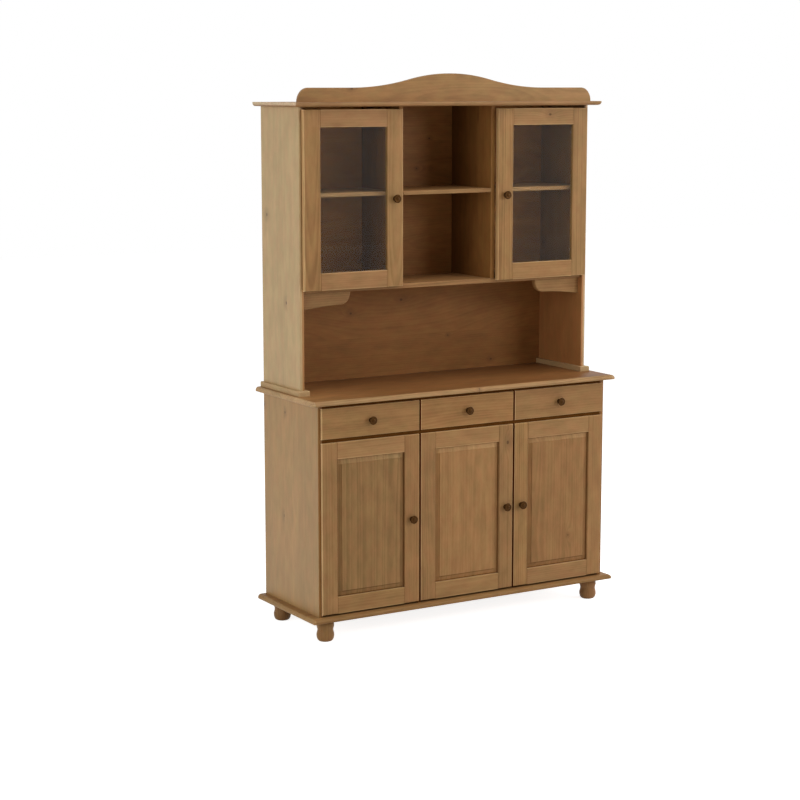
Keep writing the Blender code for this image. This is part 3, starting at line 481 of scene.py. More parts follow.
def swing(tree, value, amount):
    """Noise or chance turned round zero, as strong as the amount."""
    return times(tree, maths(tree, "SUBTRACT", value, 0.5), amount)


def make_grain():
    """Pine sawn along X: staves across Y, growth rings round a pith below the face, bent round knots."""
    tree, given, result = new_group(
        "Pine grain", GRAIN_INPUTS,
        [("Late Wood", "Float"), ("Stave", "Float"), ("Knot", "Float"),
         *((label, "Float") for label in PATTERNS)])
    x, y, z = parted(tree, given["Vector"])
    width = given["Stave Width"]

    number = maths(tree, "FLOOR", maths(tree, "ADD", maths(tree, "DIVIDE", y, width), 0.5))
    stave_dice = dice(tree, maths(tree, "ADD", times(tree, number, STAVE_SALT), given["Seed"]))
    chance = parted(tree, stave_dice[1])
    local = maths(tree, "SUBTRACT", y, times(tree, number, width))
    local = maths(tree, "ADD", local, swing(tree, chance[1], width))
    place = joined(tree, maths(tree, "MULTIPLY_ADD", chance[0], STAVE_SLIDE, x), local, z)
    knot, swirl = grow_knots(tree, place, given["Knot Share"])

    pith = times(tree, given["Pith Depth"], maths(tree, "MULTIPLY_ADD", chance[2], *PITH_SHARE))
    sway = noise(tree, along(tree, "MULTIPLY", place, SWAY[0]), SWAY[1])
    dive = noise(tree, along(tree, "MULTIPLY", place, DIVE[0]), DIVE[1])
    dive = swing(tree, dive, times(tree, pith, DIVE_SHARE))
    across = maths(tree, "ADD", local, swing(tree, sway, given["Waviness"]))
    deep = maths(tree, "ADD", maths(tree, "ADD", z, pith), dive)
    radius = maths(tree, "SQRT", maths(tree, "ADD", maths(tree, "POWER", across, 2.0),
                                       maths(tree, "POWER", deep, 2.0)))
    years = joined(tree, times(tree, radius, YEARS[0]), number, given["Seed"])
    shift = times(tree, noise(tree, years, 1.0), YEARS[1])
    phase = maths(tree, "ADD", maths(tree, "DIVIDE", radius, given["Ring Spacing"]),
                  maths(tree, "MULTIPLY_ADD", swirl, KNOT_SWIRL[1], shift))
    tooth = maths(tree, "FRACT", phase)
    ring = maths(tree, "ADD", maths(tree, "FLOOR", phase), times(tree, number, RING_SALT))
    late = times(tree, fade(tree, tooth, *LATE_WOOD), fade(tree, tooth, LATE_WOOD[1], 1.0, 1.0, 0.0))
    late = times(tree, late, maths(tree, "MULTIPLY_ADD", dice(tree, ring)[0], *VIGOUR))

    for label, value in (("Late Wood", late), ("Stave", stave_dice[0]), ("Knot", knot)):
        fill(tree, result[label], value)
    for label, (stretch, shift, detail, roughness) in PATTERNS.items():
        pattern = along(tree, "MULTIPLY_ADD", place, stretch, shift)
        fill(tree, result[label], noise(tree, pattern, detail, roughness))
    return tree


def grow_knots(tree, place, share):
    """Knots with a paler halo, one at most in each cell, and how far the rings swirl round them."""
    cells = tree.nodes.new("ShaderNodeTexVoronoi")
    cells.voronoi_dimensions = "2D"
    flat = along(tree, "MULTIPLY", place, (*KNOT_CELLS, 0.0))
    fill_inputs(tree, cells, {"Vector": flat, "Scale": 1.0})
    from_knot = along(tree, "SUBTRACT", flat, cells.outputs["Position"])
    from_knot = along(tree, "DIVIDE", from_knot, (*KNOT_CELLS, 1.0))
    chance = parted(tree, cells.outputs["Color"])
    present = maths(tree, "LESS_THAN", chance[0], share)
    away = length(tree, along(tree, "MULTIPLY", from_knot, KNOT_SHAPE))
    far = length(tree, along(tree, "MULTIPLY", from_knot, KNOT_SWIRL[0]))
    swirl = maths(tree, "EXPONENT", times(tree, maths(tree, "POWER", far, 2.0), -1.0))
    size = maths(tree, "MULTIPLY_ADD", chance[1], *KNOT_SIZE)
    heart = fade(tree, away, times(tree, size, KNOT_HEART), size, 1.0, 0.0)
    halo = fade(tree, away, size, times(tree, size, KNOT_HALO[0]), KNOT_HALO[1], 0.0)
    knot = maths(tree, "MAXIMUM", heart, halo)
    return times(tree, knot, present), times(tree, swirl, present)


def make_stain(grain):
    """Stain over pine: late wood, knots and fibre take it darker, staves and patches differ a little."""
    tree, given, result = new_group(
        "Stained pine",
        [*GRAIN_INPUTS, ("Early Wood", "Color", (0.3, 0.17, 0.07, 1)),
         ("Late Wood", "Color", (0.19, 0.09, 0.03, 1)), ("Contrast", "Float", 0.8)],
        [("Color", "Color"), ("Roughness", "Float"), ("Height", "Float")])
    group = tree.nodes.new("ShaderNodeGroup")
    group.node_tree = grain
    fill_inputs(tree, group, {label: given[label] for label, kind, value in GRAIN_INPUTS})
    wood = group.outputs
    late, knot, mottle = wood["Late Wood"], wood["Knot"], wood["Mottle"]

    share = times(tree, maths(tree, "SUBTRACT", late, LATE_MIDDLE), given["Contrast"])
    for label, strength in PATTERN_STRENGTHS.items():
        share = maths(tree, "ADD", share, swing(tree, wood[label], strength))
    share = maths(tree, "ADD", share, STAIN_MIDDLE, clamp=True)
    colour = blend(tree, share, given["Early Wood"], given["Late Wood"])
    tone = maths(tree, "MULTIPLY_ADD", wood["Stave"], *STAVE_TONES)
    tone = times(tree, tone, fade(tree, mottle, 0.25, 0.75, *MOTTLE_TONES))
    colour = blend(tree, 1.0, colour, joined(tree, tone, tone, tone), "MULTIPLY")
    hue = blend(tree, fade(tree, wood["Warmth"], 0.35, 0.65), *HUES)
    colour = blend(tree, 1.0, colour, hue, "MULTIPLY")
    colour = blend(tree, times(tree, knot, KNOT_STAIN[1]), colour, KNOT_STAIN[0])

    rough = maths(tree, "MULTIPLY_ADD", late, -LATE_GLOSS, ROUGHNESS)
    rough = maths(tree, "ADD", rough, swing(tree, wood["Fibre"], FIBRE_ROUGHNESS))
    height = maths(tree, "MULTIPLY_ADD", late, LATE_RISE, times(tree, wood["Fibre"], FIBRE_RISE))
    height = maths(tree, "SUBTRACT", height, times(tree, knot, KNOT_DIP))
    for label, value in (("Color", colour), ("Roughness", rough), ("Height", height)):
        fill(tree, result[label], value)
    return tree


# Rows that turn world axes into along the grain, across the board and through it
LAYS = {
    "upright": ((0, 0, 1), (1, 0, 0), (0, 1, 0)),
    "upright side": ((0, 0, 1), (0, 1, 0), (-1, 0, 0)),
    "flat": ((1, 0, 0), (0, 1, 0), (0, 0, 1)),
    "crosswise": ((1, 0, 0), (0, 0, 1), (0, -1, 0)),
    "flat deep": ((0, 1, 0), (-1, 0, 0), (0, 0, 1)),
    "drawer side": ((0, 1, 0), (0, 0, 1), (1, 0, 0)),
}

# Stains: early wood, late wood
HONEY = ((0.340, 0.180, 0.068), (0.205, 0.104, 0.036))
GOLD = ((0.366, 0.196, 0.077), (0.228, 0.118, 0.042))
AMBER = ((0.365, 0.182, 0.066), (0.220, 0.104, 0.036))
OLIVE = ((0.315, 0.172, 0.064), (0.185, 0.099, 0.036))
# PALE and STRAW: paler, lit copies of the stain for the side panels and the hutch's foot rails, painted light
# from the left
PALE = ((0.390, 0.232, 0.085), (0.315, 0.181, 0.060))
STRAW = ((0.508, 0.343, 0.169), (0.409, 0.265, 0.121))
RUSSET = ((0.244, 0.106, 0.032), (0.147, 0.062, 0.018))
# UMBER, for the backs and dividers, is darker partly as painted shade in the cupboard's recesses
UMBER = ((0.310, 0.137, 0.040), (0.203, 0.083, 0.023))
TAN = ((0.285, 0.146, 0.056), (0.200, 0.098, 0.034))
RAW = ((0.620, 0.450, 0.270), (0.480, 0.300, 0.150))

# Tones painted on parts of a board: painted light and shade, and stain gathered in joints
UNLIT_EDGE = (0.62, 0.45, 0.17)  # front edges in the gaps between doors and drawers
UNLIT_FRAME = (0.37, 0.27, 0.16)  # the centre frame's rails and front edges behind them
GAP_SIDE_SHADE = (0.24, 0.08, 0.02)  # painted shade on the sides of doors and drawers that face each other across a gap
RIM_LIGHT_AND_SHADE = {  # painted light on moulded edges, lighter on most, darker on the plinth's front: front, ends
    "counter_top": ((1.77, 2.40, 3.30), (2.10, 3.10, 4.80)),
    "plinth_board": ((0.82, 0.81, 0.74), (1.15, 1.25, 1.30)),
    "cornice": ((1.10, 1.20, 1.38), (2.15, 3.20, 5.40)),
}
COUNTER_LEFT_LIGHT = (1.30, 1.45, 1.60)  # painted light on the left end of the counter top
PEDIMENT_RIGHT_LIGHT = (1.15, 1.24, 1.36)  # painted light towards the right end of the pediment
ARRIS_HIGHLIGHT = (1.30, 1.42, 1.55)  # painted highlights on the arrises of doors and drawers
LEFT_ARRIS_HIGHLIGHT = (1.80, 2.10, 2.60)  # and brighter painted highlights on those on the left
# Painted light on the raised panels' top bevels, painted shade on their lower and side bevels
TOP_BEVEL_LIGHT = (1.30, 1.42, 1.58)
LOW_BEVEL_SHADE = (0.86, 0.82, 0.75)
SIDE_BEVEL_SHADE = (0.86, 0.82, 0.76)
SHOULDER_SHADE = (0.62, 0.55, 0.45)
DEEP_SHADE = (0.50, 0.46, 0.42)  # the dividers towards the back
INNER_FACE_SHADE = {"base": (0.87, 0.78, 0.80), "hutch": (0.78, 0.54, 0.36)}  # painted shade on the inner faces of the sides, shaded copies of their paler outer faces
SHADE_BEHIND_GLASS = (0.56, 0.63, 0.66)  # more painted shade on those inner faces behind the glazed doors
JOINT_STAIN_AND_FRAME_SHADE = (0.55, 0.45, 0.35)  # stain gathered along the joint of rail and stile, and painted shade along a raised panel's edge by the frame

# Where those tones stop: how far in from an end of the board, and how softly
UNLIT_EDGE_REACH = (0.0004, 0.00005)
UNLIT_FRAME_REACH = (0.022, 0.003)
INNER_FACE_SHADE_REACH = (PANEL_THICKNESS / 2, 0.002)
GLAZED_REACH = (0, 0.002)  # from the top of the hutch's bottom board
RIM_SOFTNESS = 0.0025
ARRIS_REACH = (0.0028, 0.0012)
GAP_REACH = (0.0016, 0.0005)  # in from the side
GAP_SETBACK = (0.0012, 0.0006)  # back from the face
JOINT_REACH = (0.0012, 0.0004)
BEVEL_SOFTNESS = 0.0006
BEVEL_CORNER_SOFTNESS = 0.008  # where the bevels of a panel meet
FRAME_LINE = (0.0028, 0.0010)  # the painted shade along the frame, past a panel's tongue
SHOULDER_LINE_TOP = (0.0004, 0.0004)  # past a panel's bevel
SHOULDER_LINE_FOOT = (-0.0032, 0.0008)
SHOULDER_END_SOFTNESS = 0.001

# Where wider tones begin on the cupboard: axis, place, side, softness
COUNTER_LEFT_LIGHT_FROM = (0, -0.42, -1, 0.18)
PEDIMENT_RIGHT_LIGHT_FROM = (0, 0.25, 1, 0.35)
DEEP_FROM = (1, 0.07, 1, 0.11)

# Members whose stain isn't honey for a stile or gold for a rail, as in the photograph
MEMBER_STAINS = {
    "base_door_left_stile_left": GOLD,
    "base_door_centre_stile_left": OLIVE,
    "glass_door_left_stile_right": GOLD,
    "glass_door_right_stile_right": GOLD,
    "base_door_left_rail_bottom": HONEY,
}

# Raised panels: stain, contrast, ring spacing
PANELS = {"left": (OLIVE, 0.55, 0.017), "centre": (GOLD, 0.28, 0.011), "right": (HONEY, 0.28, 0.011)}

BUMP_STRENGTH = 0.12
BUMP_DEPTH = 0.0006
STAIN_CHANCE = 0.03  # how far a board's colours stray from its stain's
CONTRAST_CHANCE = 0.3

STAINED = make_stain(make_grain())


def near_end(box, axis, side, reach, softness):
    """A limit that keeps a tone within reach of an end of the box."""
    return axis, end_of(box, axis, side) - side * reach, side, softness


def off_end(box, axis, side, reach, softness):
    """A limit that keeps a tone out of that reach."""
    return axis, end_of(box, axis, side) - side * reach, -side, softness


def pine(obj, lay, stain=HONEY, stave=1.0, spacing=0.0085, depth=0.040, waves=0.012, knots=0.25,
         contrast=0.55, gloss=0.12, tones=()):
    """Gives a piece its own board of pine, with the grain laid as the lay says.

    Each of the tones is (tone, limits): painted light and shade, and stain gathered in joints; the colour
    takes it beyond all of its limits. A limit is (axis, place, side, softness).
    """
    material, tree, shader = new_material(f"{obj.name} pine")
    chance = random.Random(obj.name)
    stray = (1 - STAIN_CHANCE, 1 + STAIN_CHANCE)
    early, late = ([channel * chance.uniform(*stray) for channel in colour] for colour in stain)

    turn = Matrix(LAYS[lay])
    corners = [Vector(corner) for corner in obj.bound_box]
    middle = turn @ (sum(corners, Vector()) / 8)
    slide = chance.uniform(0, 20)
    shift = chance.uniform(-0.3, 0.3) * min(stave, 0.06)
    seed = chance.uniform(0, 90)
    contrast *= chance.uniform(1 - CONTRAST_CHANCE, 1 + CONTRAST_CHANCE)
    places = tree.nodes.new("ShaderNodeTexCoord").outputs["Object"]
    board = tree.nodes.new("ShaderNodeMapping")
    fill_inputs(tree, board, {"Vector": places, "Rotation": turn.to_euler(),
                              "Location": (slide, shift - middle.y, -middle.z)})

    wood = tree.nodes.new("ShaderNodeGroup")
    wood.node_tree = STAINED
    fill_inputs(tree, wood, {
        "Vector": board.outputs["Vector"], "Stave Width": stave, "Ring Spacing": spacing, "Pith Depth": depth,
        "Waviness": waves, "Knot Share": knots, "Seed": seed, "Early Wood": (*early, 1),
        "Late Wood": (*late, 1), "Contrast": contrast})
    colour = wood.outputs["Color"]
    spots = parted(tree, places)
    for tone, limits in tones:
        share = 1.0
        for axis, place, side, softness in limits:
            beyond = maths(tree, "MULTIPLY_ADD", spots[axis], side, -side * place)
            share = times(tree, share, fade(tree, beyond, -softness, softness))
        colour = blend(tree, share, colour, blend(tree, 1.0, colour, (*tone, 1), "MULTIPLY"))
    bump = tree.nodes.new("ShaderNodeBump")
    fill_inputs(tree, bump, {"Height": wood.outputs["Height"], "Strength": BUMP_STRENGTH,
                             "Distance": BUMP_DEPTH})
    fill_inputs(tree, shader, {"Base Color": colour, "Roughness": wood.outputs["Roughness"],
                               "Specular IOR Level": gloss, "Normal": bump.outputs["Normal"]})
    dress(obj, material)


def dress(obj, material):
    """Puts a material on a piece or a CAD node."""
    if not obj.material_slots:
        obj.data.materials.append(material)
    obj.material_slots[0].material = material


def plain_metal(name, colour, roughness, blotch):
    """Metal with a soft unevenness in colour and gloss."""
    material, tree, shader = new_material(name)
    places = tree.nodes.new("ShaderNodeTexCoord")
    cloud = noise(tree, along(tree, "SCALE", places.outputs["Object"], 240.0), 3.0)
    darker = tuple(channel * blotch for channel in colour)
    fill_inputs(tree, shader, {"Base Color": blend(tree, cloud, (*colour, 1), (*darker, 1)), "Metallic": 1.0,
                               "Roughness": fade(tree, cloud, 0.3, 0.7, roughness * 0.85, roughness * 1.2)})
    return material


def make_glass():
    """Clear glass, faintly green, with a weak reflection."""
    material, tree, shader = new_material("Clear glass")
    fill_inputs(tree, shader, {"Base Color": (0.93, 0.96, 0.95, 1), "Roughness": 0.02, "IOR": 1.22,
                               "Transmission Weight": 1.0})
    return material


BRONZE = plain_metal("Browned bronze", (0.056, 0.024, 0.0065), 0.42, 0.55)
STEEL = plain_metal("Nickelled steel", (0.62, 0.61, 0.59), 0.28, 0.85)
GLASS = make_glass()


def finish_piece(obj, body, slot, *nodes):
    """Puts a new piece on its body, in place of CAD nodes."""
    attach(obj, body)
    if nodes:
        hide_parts(*nodes)


# Boards

def moulded_board(node, top, bottom):
    """A board with rounded front and ends, above and below."""
    low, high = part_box(node)
    obj = block(f"{node}_moulded", low, high)
    edit(obj)
    for level, radius, segments in ((high[2], top, 10), (low[2], bottom, 6)):
        if radius:
            rim = either(on(low[1], 1), on(low[0], 0), on(high[0], 0))
            round_over(obj, both(on(level, 2), rim), radius, segments)
    leave(obj)
    smooth(obj)
    finish_piece(obj, "cupboard", "stained_pine", node)
    return obj


def rim_light_and_shade(node, reach):
    """The painted light and shade on a moulded board's front and ends, as far in as they reach."""
    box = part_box(node)
    rim = (reach, RIM_SOFTNESS)
    front, ends = RIM_LIGHT_AND_SHADE[node]
    tones = []
    if node == "counter_top":
        tones.append((COUNTER_LEFT_LIGHT, (COUNTER_LEFT_LIGHT_FROM, off_end(box, 1, -1, *rim), off_end(box, 0, -1, *rim))))
    inside = [off_end(box, 0, side, *rim) for side in (-1, 1)]
    tones.append((front, (near_end(box, 1, -1, *rim), *inside)))
    tones += [(ends, (near_end(box, 0, side, *rim),)) for side in (-1, 1)]
    return tones


def dress_boards():
    """The moulded boards, and the panels, shelves, brackets and pediment that keep their CAD shapes."""
    for node, (top, bottom, reach) in MOULDED_BOARDS.items():
        stain = RUSSET if node == "counter_top" else HONEY
        obj = moulded_board(node, top, bottom)
        pine(obj, "flat", stain, stave=0.112, tones=rim_light_and_shade(node, reach))
    nodes = frame["nodes"]
    for name, side in SIDES.items():
        # The sides' paler stains are painted light; their inner faces take painted shade, and more behind the
        # glass
        node = f"base_side_{name}"
        edge = near_end(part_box(node), 1, -1, *UNLIT_EDGE_REACH)
        limit = off_end(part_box(node), 0, side, *INNER_FACE_SHADE_REACH)
        pine(nodes[node], "upright side", PALE, stave=0.105, contrast=0.40, knots=0.2, gloss=0.3,
             tones=[(UNLIT_EDGE, (edge,)), (INNER_FACE_SHADE["base"], (limit,))])
        node = f"hutch_side_{name}"
        limit = off_end(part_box(node), 0, side, *INNER_FACE_SHADE_REACH)
        above = near_end(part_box("hutch_bottom"), 2, 1, *GLAZED_REACH)
        pine(nodes[node], "upright side", STRAW, stave=0.098, contrast=0.40, knots=0.2, gloss=0.3,
             tones=[(INNER_FACE_SHADE["hutch"], (limit,)), (SHADE_BEHIND_GLASS, (limit, above))])
        pine(nodes[f"hutch_foot_rail_{name}"], "flat deep", STRAW, contrast=0.3)
        pine(nodes[f"hutch_divider_{name}"], "upright side", UMBER, stave=0.095, contrast=0.35,
             tones=[(DEEP_SHADE, (DEEP_FROM,))])
        pine(nodes[f"hutch_shelf_{name}"], "flat", stave=0.095)
        pine(nodes[f"bracket_{name}"], "crosswise", HONEY if side < 0 else GOLD, knots=0.1)
    for node, stave in (("hutch_shelf_centre", 0.095), ("hutch_bottom", 0.095), ("base_shelf", 0.110)):
        pine(nodes[node], "flat", stave=stave)
    front = near_end(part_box("base_centre_frame"), 1, -1, *UNLIT_FRAME_REACH)
    pine(nodes["base_centre_frame"], "upright side", stave=0.100, contrast=0.3, gloss=0.0,
         tones=[(UNLIT_FRAME, (front,))])
    pine(nodes["pediment"], "crosswise", stave=0.4, depth=0.055, knots=0.3, contrast=0.35,
         tones=[(PEDIMENT_RIGHT_LIGHT, (PEDIMENT_RIGHT_LIGHT_FROM,))])
    for node in ("base_back", "hutch_back"):
        nail_back(node)


def nail_back(node):
    """A back panel with a row of nails along each edge, none of them proud of the cupboard's back."""
    low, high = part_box(node)
    face = high[1] - NAIL_PROUD - NAIL_CLEARANCE
    board = block(f"{node}_board", low, (high[0], face, high[2]))
    pine(board, "crosswise", UMBER, stave=0.24, spacing=0.007, depth=0.06, waves=0.03, knots=0.4,
         contrast=0.3)
    finish_piece(board, "cupboard", "back_board", node)

    left, right = low[0] + NAIL_INSET, high[0] - NAIL_INSET
    lower, upper = low[2] + NAIL_INSET, high[2] - NAIL_INSET
    columns, rows = round((right - left) / NAIL_SPACING), round((upper - lower) / NAIL_SPACING)
    spots = []
    for step in range(columns + 1):
        x = left + (right - left) * step / columns
        spots += [(x, lower), (x, upper)]
    for step in range(1, rows):
        z = lower + (upper - lower) * step / rows
        spots += [(left, z), (right, z)]
    start_clean()
    for index, (x, z) in enumerate(spots):
        bpy.ops.mesh.primitive_cylinder_add(
            vertices=NAIL_SIDES, radius=NAIL_RADIUS, depth=NAIL_PROUD + NAIL_SUNK,
            location=(x, face + (NAIL_PROUD - NAIL_SUNK) / 2, z), rotation=(math.pi / 2, 0, 0))
        if not index:
            nails = keep(f"{node}_nails")
            edit(nails)
    leave(nails)
    dress(nails, STEEL)
    finish_piece(nails, "cupboard", "hinge_steel")


# Feet and knobs

def ease(start, end, steps):
    """Points on a soft S from one (radius, height) to another, upright at both ends."""
    points = []
    for step in range(1, steps + 1):
        share = step / steps
        points.append((start[0] + (end[0] - start[0]) * (1 - math.cos(math.pi * share)) / 2,
                       start[1] + (end[1] - start[1]) * share))
    return points


def turn_feet():
    """Four bun feet: a round sole, a belly, a waist and a shoulder up to the neck."""
    outline = arc((FOOT_SOLE, FOOT_BELLY[1]), (FOOT_ROUND, FOOT_BELLY[1]), -90, 0, 10)
    outline += ease(FOOT_BELLY, FOOT_WAIST, 8)
    outline += ease(FOOT_WAIST, FOOT_SHOULDER, 8)
    radii = (FOOT_SHOULDER[0] - FOOT_NECK, FOOT_SHOULDER_RISE)
    outline += arc((FOOT_NECK, FOOT_SHOULDER[1]), radii, 0, 90, 6)[1:]
    outline.append((FOOT_NECK, FOOT_HEIGHT))
    for row in ("front", "back"):
        for name in SIDES:
            node = f"foot_{row}_{name}"
            low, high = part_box(node)
            obj = turned(f"{node}_turned", outline, ((low[0] + high[0]) / 2, (low[1] + high[1]) / 2, 0))
            smooth(obj)
            pine(obj, "upright", TAN, spacing=0.006, depth=0.02, knots=0.05)
            finish_piece(obj, "cupboard", "stained_pine", node)


def turn_knobs():
    """Eight knobs, each turned from its rose on the wood out to its button."""
    outline = [KNOB_SEAT]
    for numbers in KNOB_ARCS:
        outline += arc(*numbers)
    bodies = [f"{kind}_{column}" for kind in ("drawer", "base_door") for column in COLUMNS]
    bodies += [f"glass_door_{name}" for name in SIDES]
    for body in bodies:
        node = "_knob_".join(body.rsplit("_", 1))
        low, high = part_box(node)
        place = ((low[0] + high[0]) / 2, high[1], (low[2] + high[2]) / 2)
        obj = turned(f"{node}_turned", outline, place, way=(0, -1, 0))
        smooth(obj)
        dress(obj, BRONZE)
        finish_piece(obj, body, "knob_bronze", node)


# Drawers

def arris_highlights(box, ends):
    """The painted highlights on a front's arrises at the given ends, each an (axis, side)."""
    return [(LEFT_ARRIS_HIGHLIGHT if end == (0, -1) else ARRIS_HIGHLIGHT, (near_end(box, *end, *ARRIS_REACH),))
            for end in ends]


def shaded_gap_sides(box, sides):
    """The painted shade on a front's sides that others stand beside."""
    return [(GAP_SIDE_SHADE, (near_end(box, 0, side, *GAP_REACH), off_end(box, 1, -1, *GAP_SETBACK)))
            for side in sides]


def dress_drawers():
    """Lipped fronts, rounded and with painted highlights on the arrises, and the boxes behind them."""
    for column in COLUMNS:
        node = f"drawer_front_{column}"
        box = low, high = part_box(node)
        obj = block(f"{node}_lipped", low, (high[0], low[1] + LIP_THICKNESS, high[2]))
        edit(obj)
        round_over(obj, on(low[1], 1), FRONT_ROUND, 5)
        pick(obj, "FACE", on(low[1] + LIP_THICKNESS, 1))
        bpy.ops.mesh.inset(thickness=STEP_INSET)
        bpy.ops.mesh.extrude_region_move(TRANSFORM_OT_translate={"value": (0, STEP_DEPTH, 0)})
        leave(obj)
        smooth(obj)
        tones = arris_highlights(box, ((0, -1), (0, 1), (2, -1), (2, 1))) + shaded_gap_sides(box, NEIGHBOURS[column])
        pine(obj, "crosswise", AMBER if column == "centre" else HONEY, stave=0.3, depth=0.035, knots=0.2,
             contrast=0.35, tones=tones)
        finish_piece(obj, f"drawer_{column}", "stained_pine", node)
        board_box(column)


def board_box(column):
    """A drawer's box of boards: two sides grooved for the runners, a back and a bottom."""
    node, body = f"drawer_box_{column}", f"drawer_{column}"
    low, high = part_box(node)
    inner = (low[0] + BOX_SIDE, high[0] - BOX_SIDE)
    for name, side in SIDES.items():
        x = (low[0], inner[0]) if side < 0 else (inner[1], high[0])
        outer = x[0] if side < 0 else x[1]
        obj = block(f"drawer_side_{column}_{name}", (x[0], low[1], low[2]), (x[1], high[1], high[2]))
        edit(obj)
        round_over(obj, both(on(high[2], 2), either(on(x[0], 0), on(x[1], 0))), BOX_ROUND, 3)
        levels = [low[2] + level for level in RUNNER_GROOVE]
        for level in levels:
            saw(level, 2)
        pull(obj, both(on(outer, 0), between(2, *levels)), (-side * RUNNER_GROOVE_DEPTH, 0, 0))
        leave(obj)
        smooth(obj)
        pine(obj, "drawer side", RAW, stave=0.3, knots=0.2)
        finish_piece(obj, body, "raw_pine", node)
    inner = (inner[0] + JOINT_GAP, inner[1] - JOINT_GAP)
    back = high[1] - BOX_SIDE
    bottom = low[2] + BOX_BOTTOM_RISE
    for name, lay, start, end in (
            ("back", "crosswise", (inner[0], back, low[2]), (inner[1], high[1], high[2])),
            ("bottom", "flat", (inner[0], low[1], bottom),
             (inner[1], back - JOINT_GAP, bottom + BOX_BOTTOM))):
        obj = block(f"drawer_{name}_{column}", start, end)
        pine(obj, lay, RAW, stave=0.3, knots=0.2, contrast=0.4)
        finish_piece(obj, body, "raw_pine", node)


# Doors

def member(name, low, high, wide, outer, opening, lipped, groove):
    """A stile or a rail: rounded arrises, a step behind its lip, a groove for the panel or the pane.

    Its width lies on the axis wide, and its outer edge on the side outer.
    """
    longways = 2 - wide
    y = low[1]
    back = y + (LIP_THICKNESS if lipped else GLASS_DOOR_THICKNESS)
    outer_place, inner_place = (low[wide], high[wide]) if outer < 0 else (high[wide], low[wide])
    stile = wide == 0
    obj = block(name, low, (high[0], back, high[2]))
    edit(obj)
    front = on(y, 1)
    ends = either(on(low[longways], longways), on(high[longways], longways))
    if stile:
        round_over(obj, both(front, either(on(outer_place, wide), ends)), FRONT_ROUND, 5)
        saw(opening[0], longways)
        saw(opening[1], longways)
        inner_edge = both(front, on(inner_place, wide), between(longways, *opening))
    else:
        round_over(obj, both(front, ends), JOINT_ARRIS, 2)
        round_over(obj, both(front, on(outer_place, wide)), FRONT_ROUND, 5)
        inner_edge = both(front, on(inner_place, wide))
    round_over(obj, inner_edge, INNER_ROUND)
    if lipped:
        step_low, step_high = list(low), list(high)
        if outer < 0:
            step_low[wide] += STEP_INSET
        else:
            step_high[wide] -= STEP_INSET
        saw(outer_place - outer * STEP_INSET, wide)
        if stile:
            step_low[longways] += STEP_INSET
            step_high[longways] -= STEP_INSET
            saw(step_low[longways], longways)
            saw(step_high[longways], longways)
        within = both(between(0, step_low[0], step_high[0]), between(2, step_low[2], step_high[2]))
        pull(obj, both(on(back, 1), within), (0, STEP_DEPTH, 0))
    walls = (y + groove[0], y + groove[1])
    saw(walls[0], 1)
    saw(walls[1], 1)
    way = Vector((0, 0, 0))
    way[wide] = outer * groove[2]
    pull(obj, both(on(inner_place, wide), between(1, *walls)), way)
    return leave(obj)


def framed_door(node, stile, rail, lipped, groove, hung):
    """A door's four members in place of its CAD frame, with the hinge cups let into the hung stile."""
    low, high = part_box(node)
    front, back = low[1], low[1] + (LIP_THICKNESS + STEP_DEPTH if lipped else GLASS_DOOR_THICKNESS)
    z = (low[2], high[2])
    opening = (z[0] + rail, z[1] - rail)
    hinges = {"lower": z[0] + HINGE_FROM_END, "upper": z[1] - HINGE_FROM_END}
    cup_x = hinge_panel(node, hung) - hung * CUP_FROM_PANEL
    door = node.replace("_frame", "")
    for name, side in SIDES.items():
        x = (low[0], low[0] + stile) if side < 0 else (high[0] - stile, high[0])
        box = (x[0], front, z[0]), (x[1], back, z[1])
        obj = member(f"{door}_stile_{name}", *box, 0, side, opening, lipped, groove)
        if side == hung:
            reach = (back - CUP_DEPTH - CUP_CLEARANCE, back + DRILL_OVERRUN)
            for level in hinges.values():
                drill(obj, cup_x, level, reach, CUP_RADIUS + CUP_CLEARANCE)
        smooth(obj)
        tones = arris_highlights(box, ((0, side), (2, -1), (2, 1)))
        if lipped and side in NEIGHBOURS[node.split("_")[-1]]:
            tones += shaded_gap_sides(box, (side,))
        stain = MEMBER_STAINS.get(obj.name, HONEY)
        pine(obj, "upright", stain, stave=0.4, depth=0.030, knots=0.06, tones=tones)
        finish_piece(obj, door, "stained_pine", node)
    inner = (low[0] + stile + JOINT_GAP, high[0] - stile - JOINT_GAP)
    for name, side, levels in (("bottom", -1, (z[0], opening[0])), ("top", 1, (opening[1], z[1]))):
        box = (inner[0], front, levels[0]), (inner[1], back, levels[1])
        obj = member(f"{door}_rail_{name}", *box, 2, side, opening, lipped, groove)
        smooth(obj)
        tones = arris_highlights(box, ((2, -1), (2, 1)))
        tones += [(JOINT_STAIN_AND_FRAME_SHADE, (near_end(box, 0, end, *JOINT_REACH),)) for end in (-1, 1)]
        stain = MEMBER_STAINS.get(obj.name, GOLD)
        pine(obj, "crosswise", stain, stave=0.4, depth=0.030, knots=0.2, contrast=0.30, tones=tones)
        finish_piece(obj, door, "stained_pine", node)
    for end, level in hinges.items():
        set_cup(f"{door}_cup_{end}", cup_x, back, level, door)


def hinge_panel(node, hung):
    """The face of the side panel or divider that carries a door's hinges."""
    if "centre" in node:
        middle = (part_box("base_door_frame_left")[1][0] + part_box("base_door_frame_centre")[0][0]) / 2
        return middle + PANEL_THICKNESS / 2
    panel = "base_side_left" if hung < 0 else "base_side_right"
    return end_of(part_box(panel), 0, hung) - hung * PANEL_THICKNESS


def steel_piece(obj, body):
    """Finishes a part of a hinge."""
    smooth(obj)
    dress(obj, STEEL)
    finish_piece(obj, body, "hinge_steel")


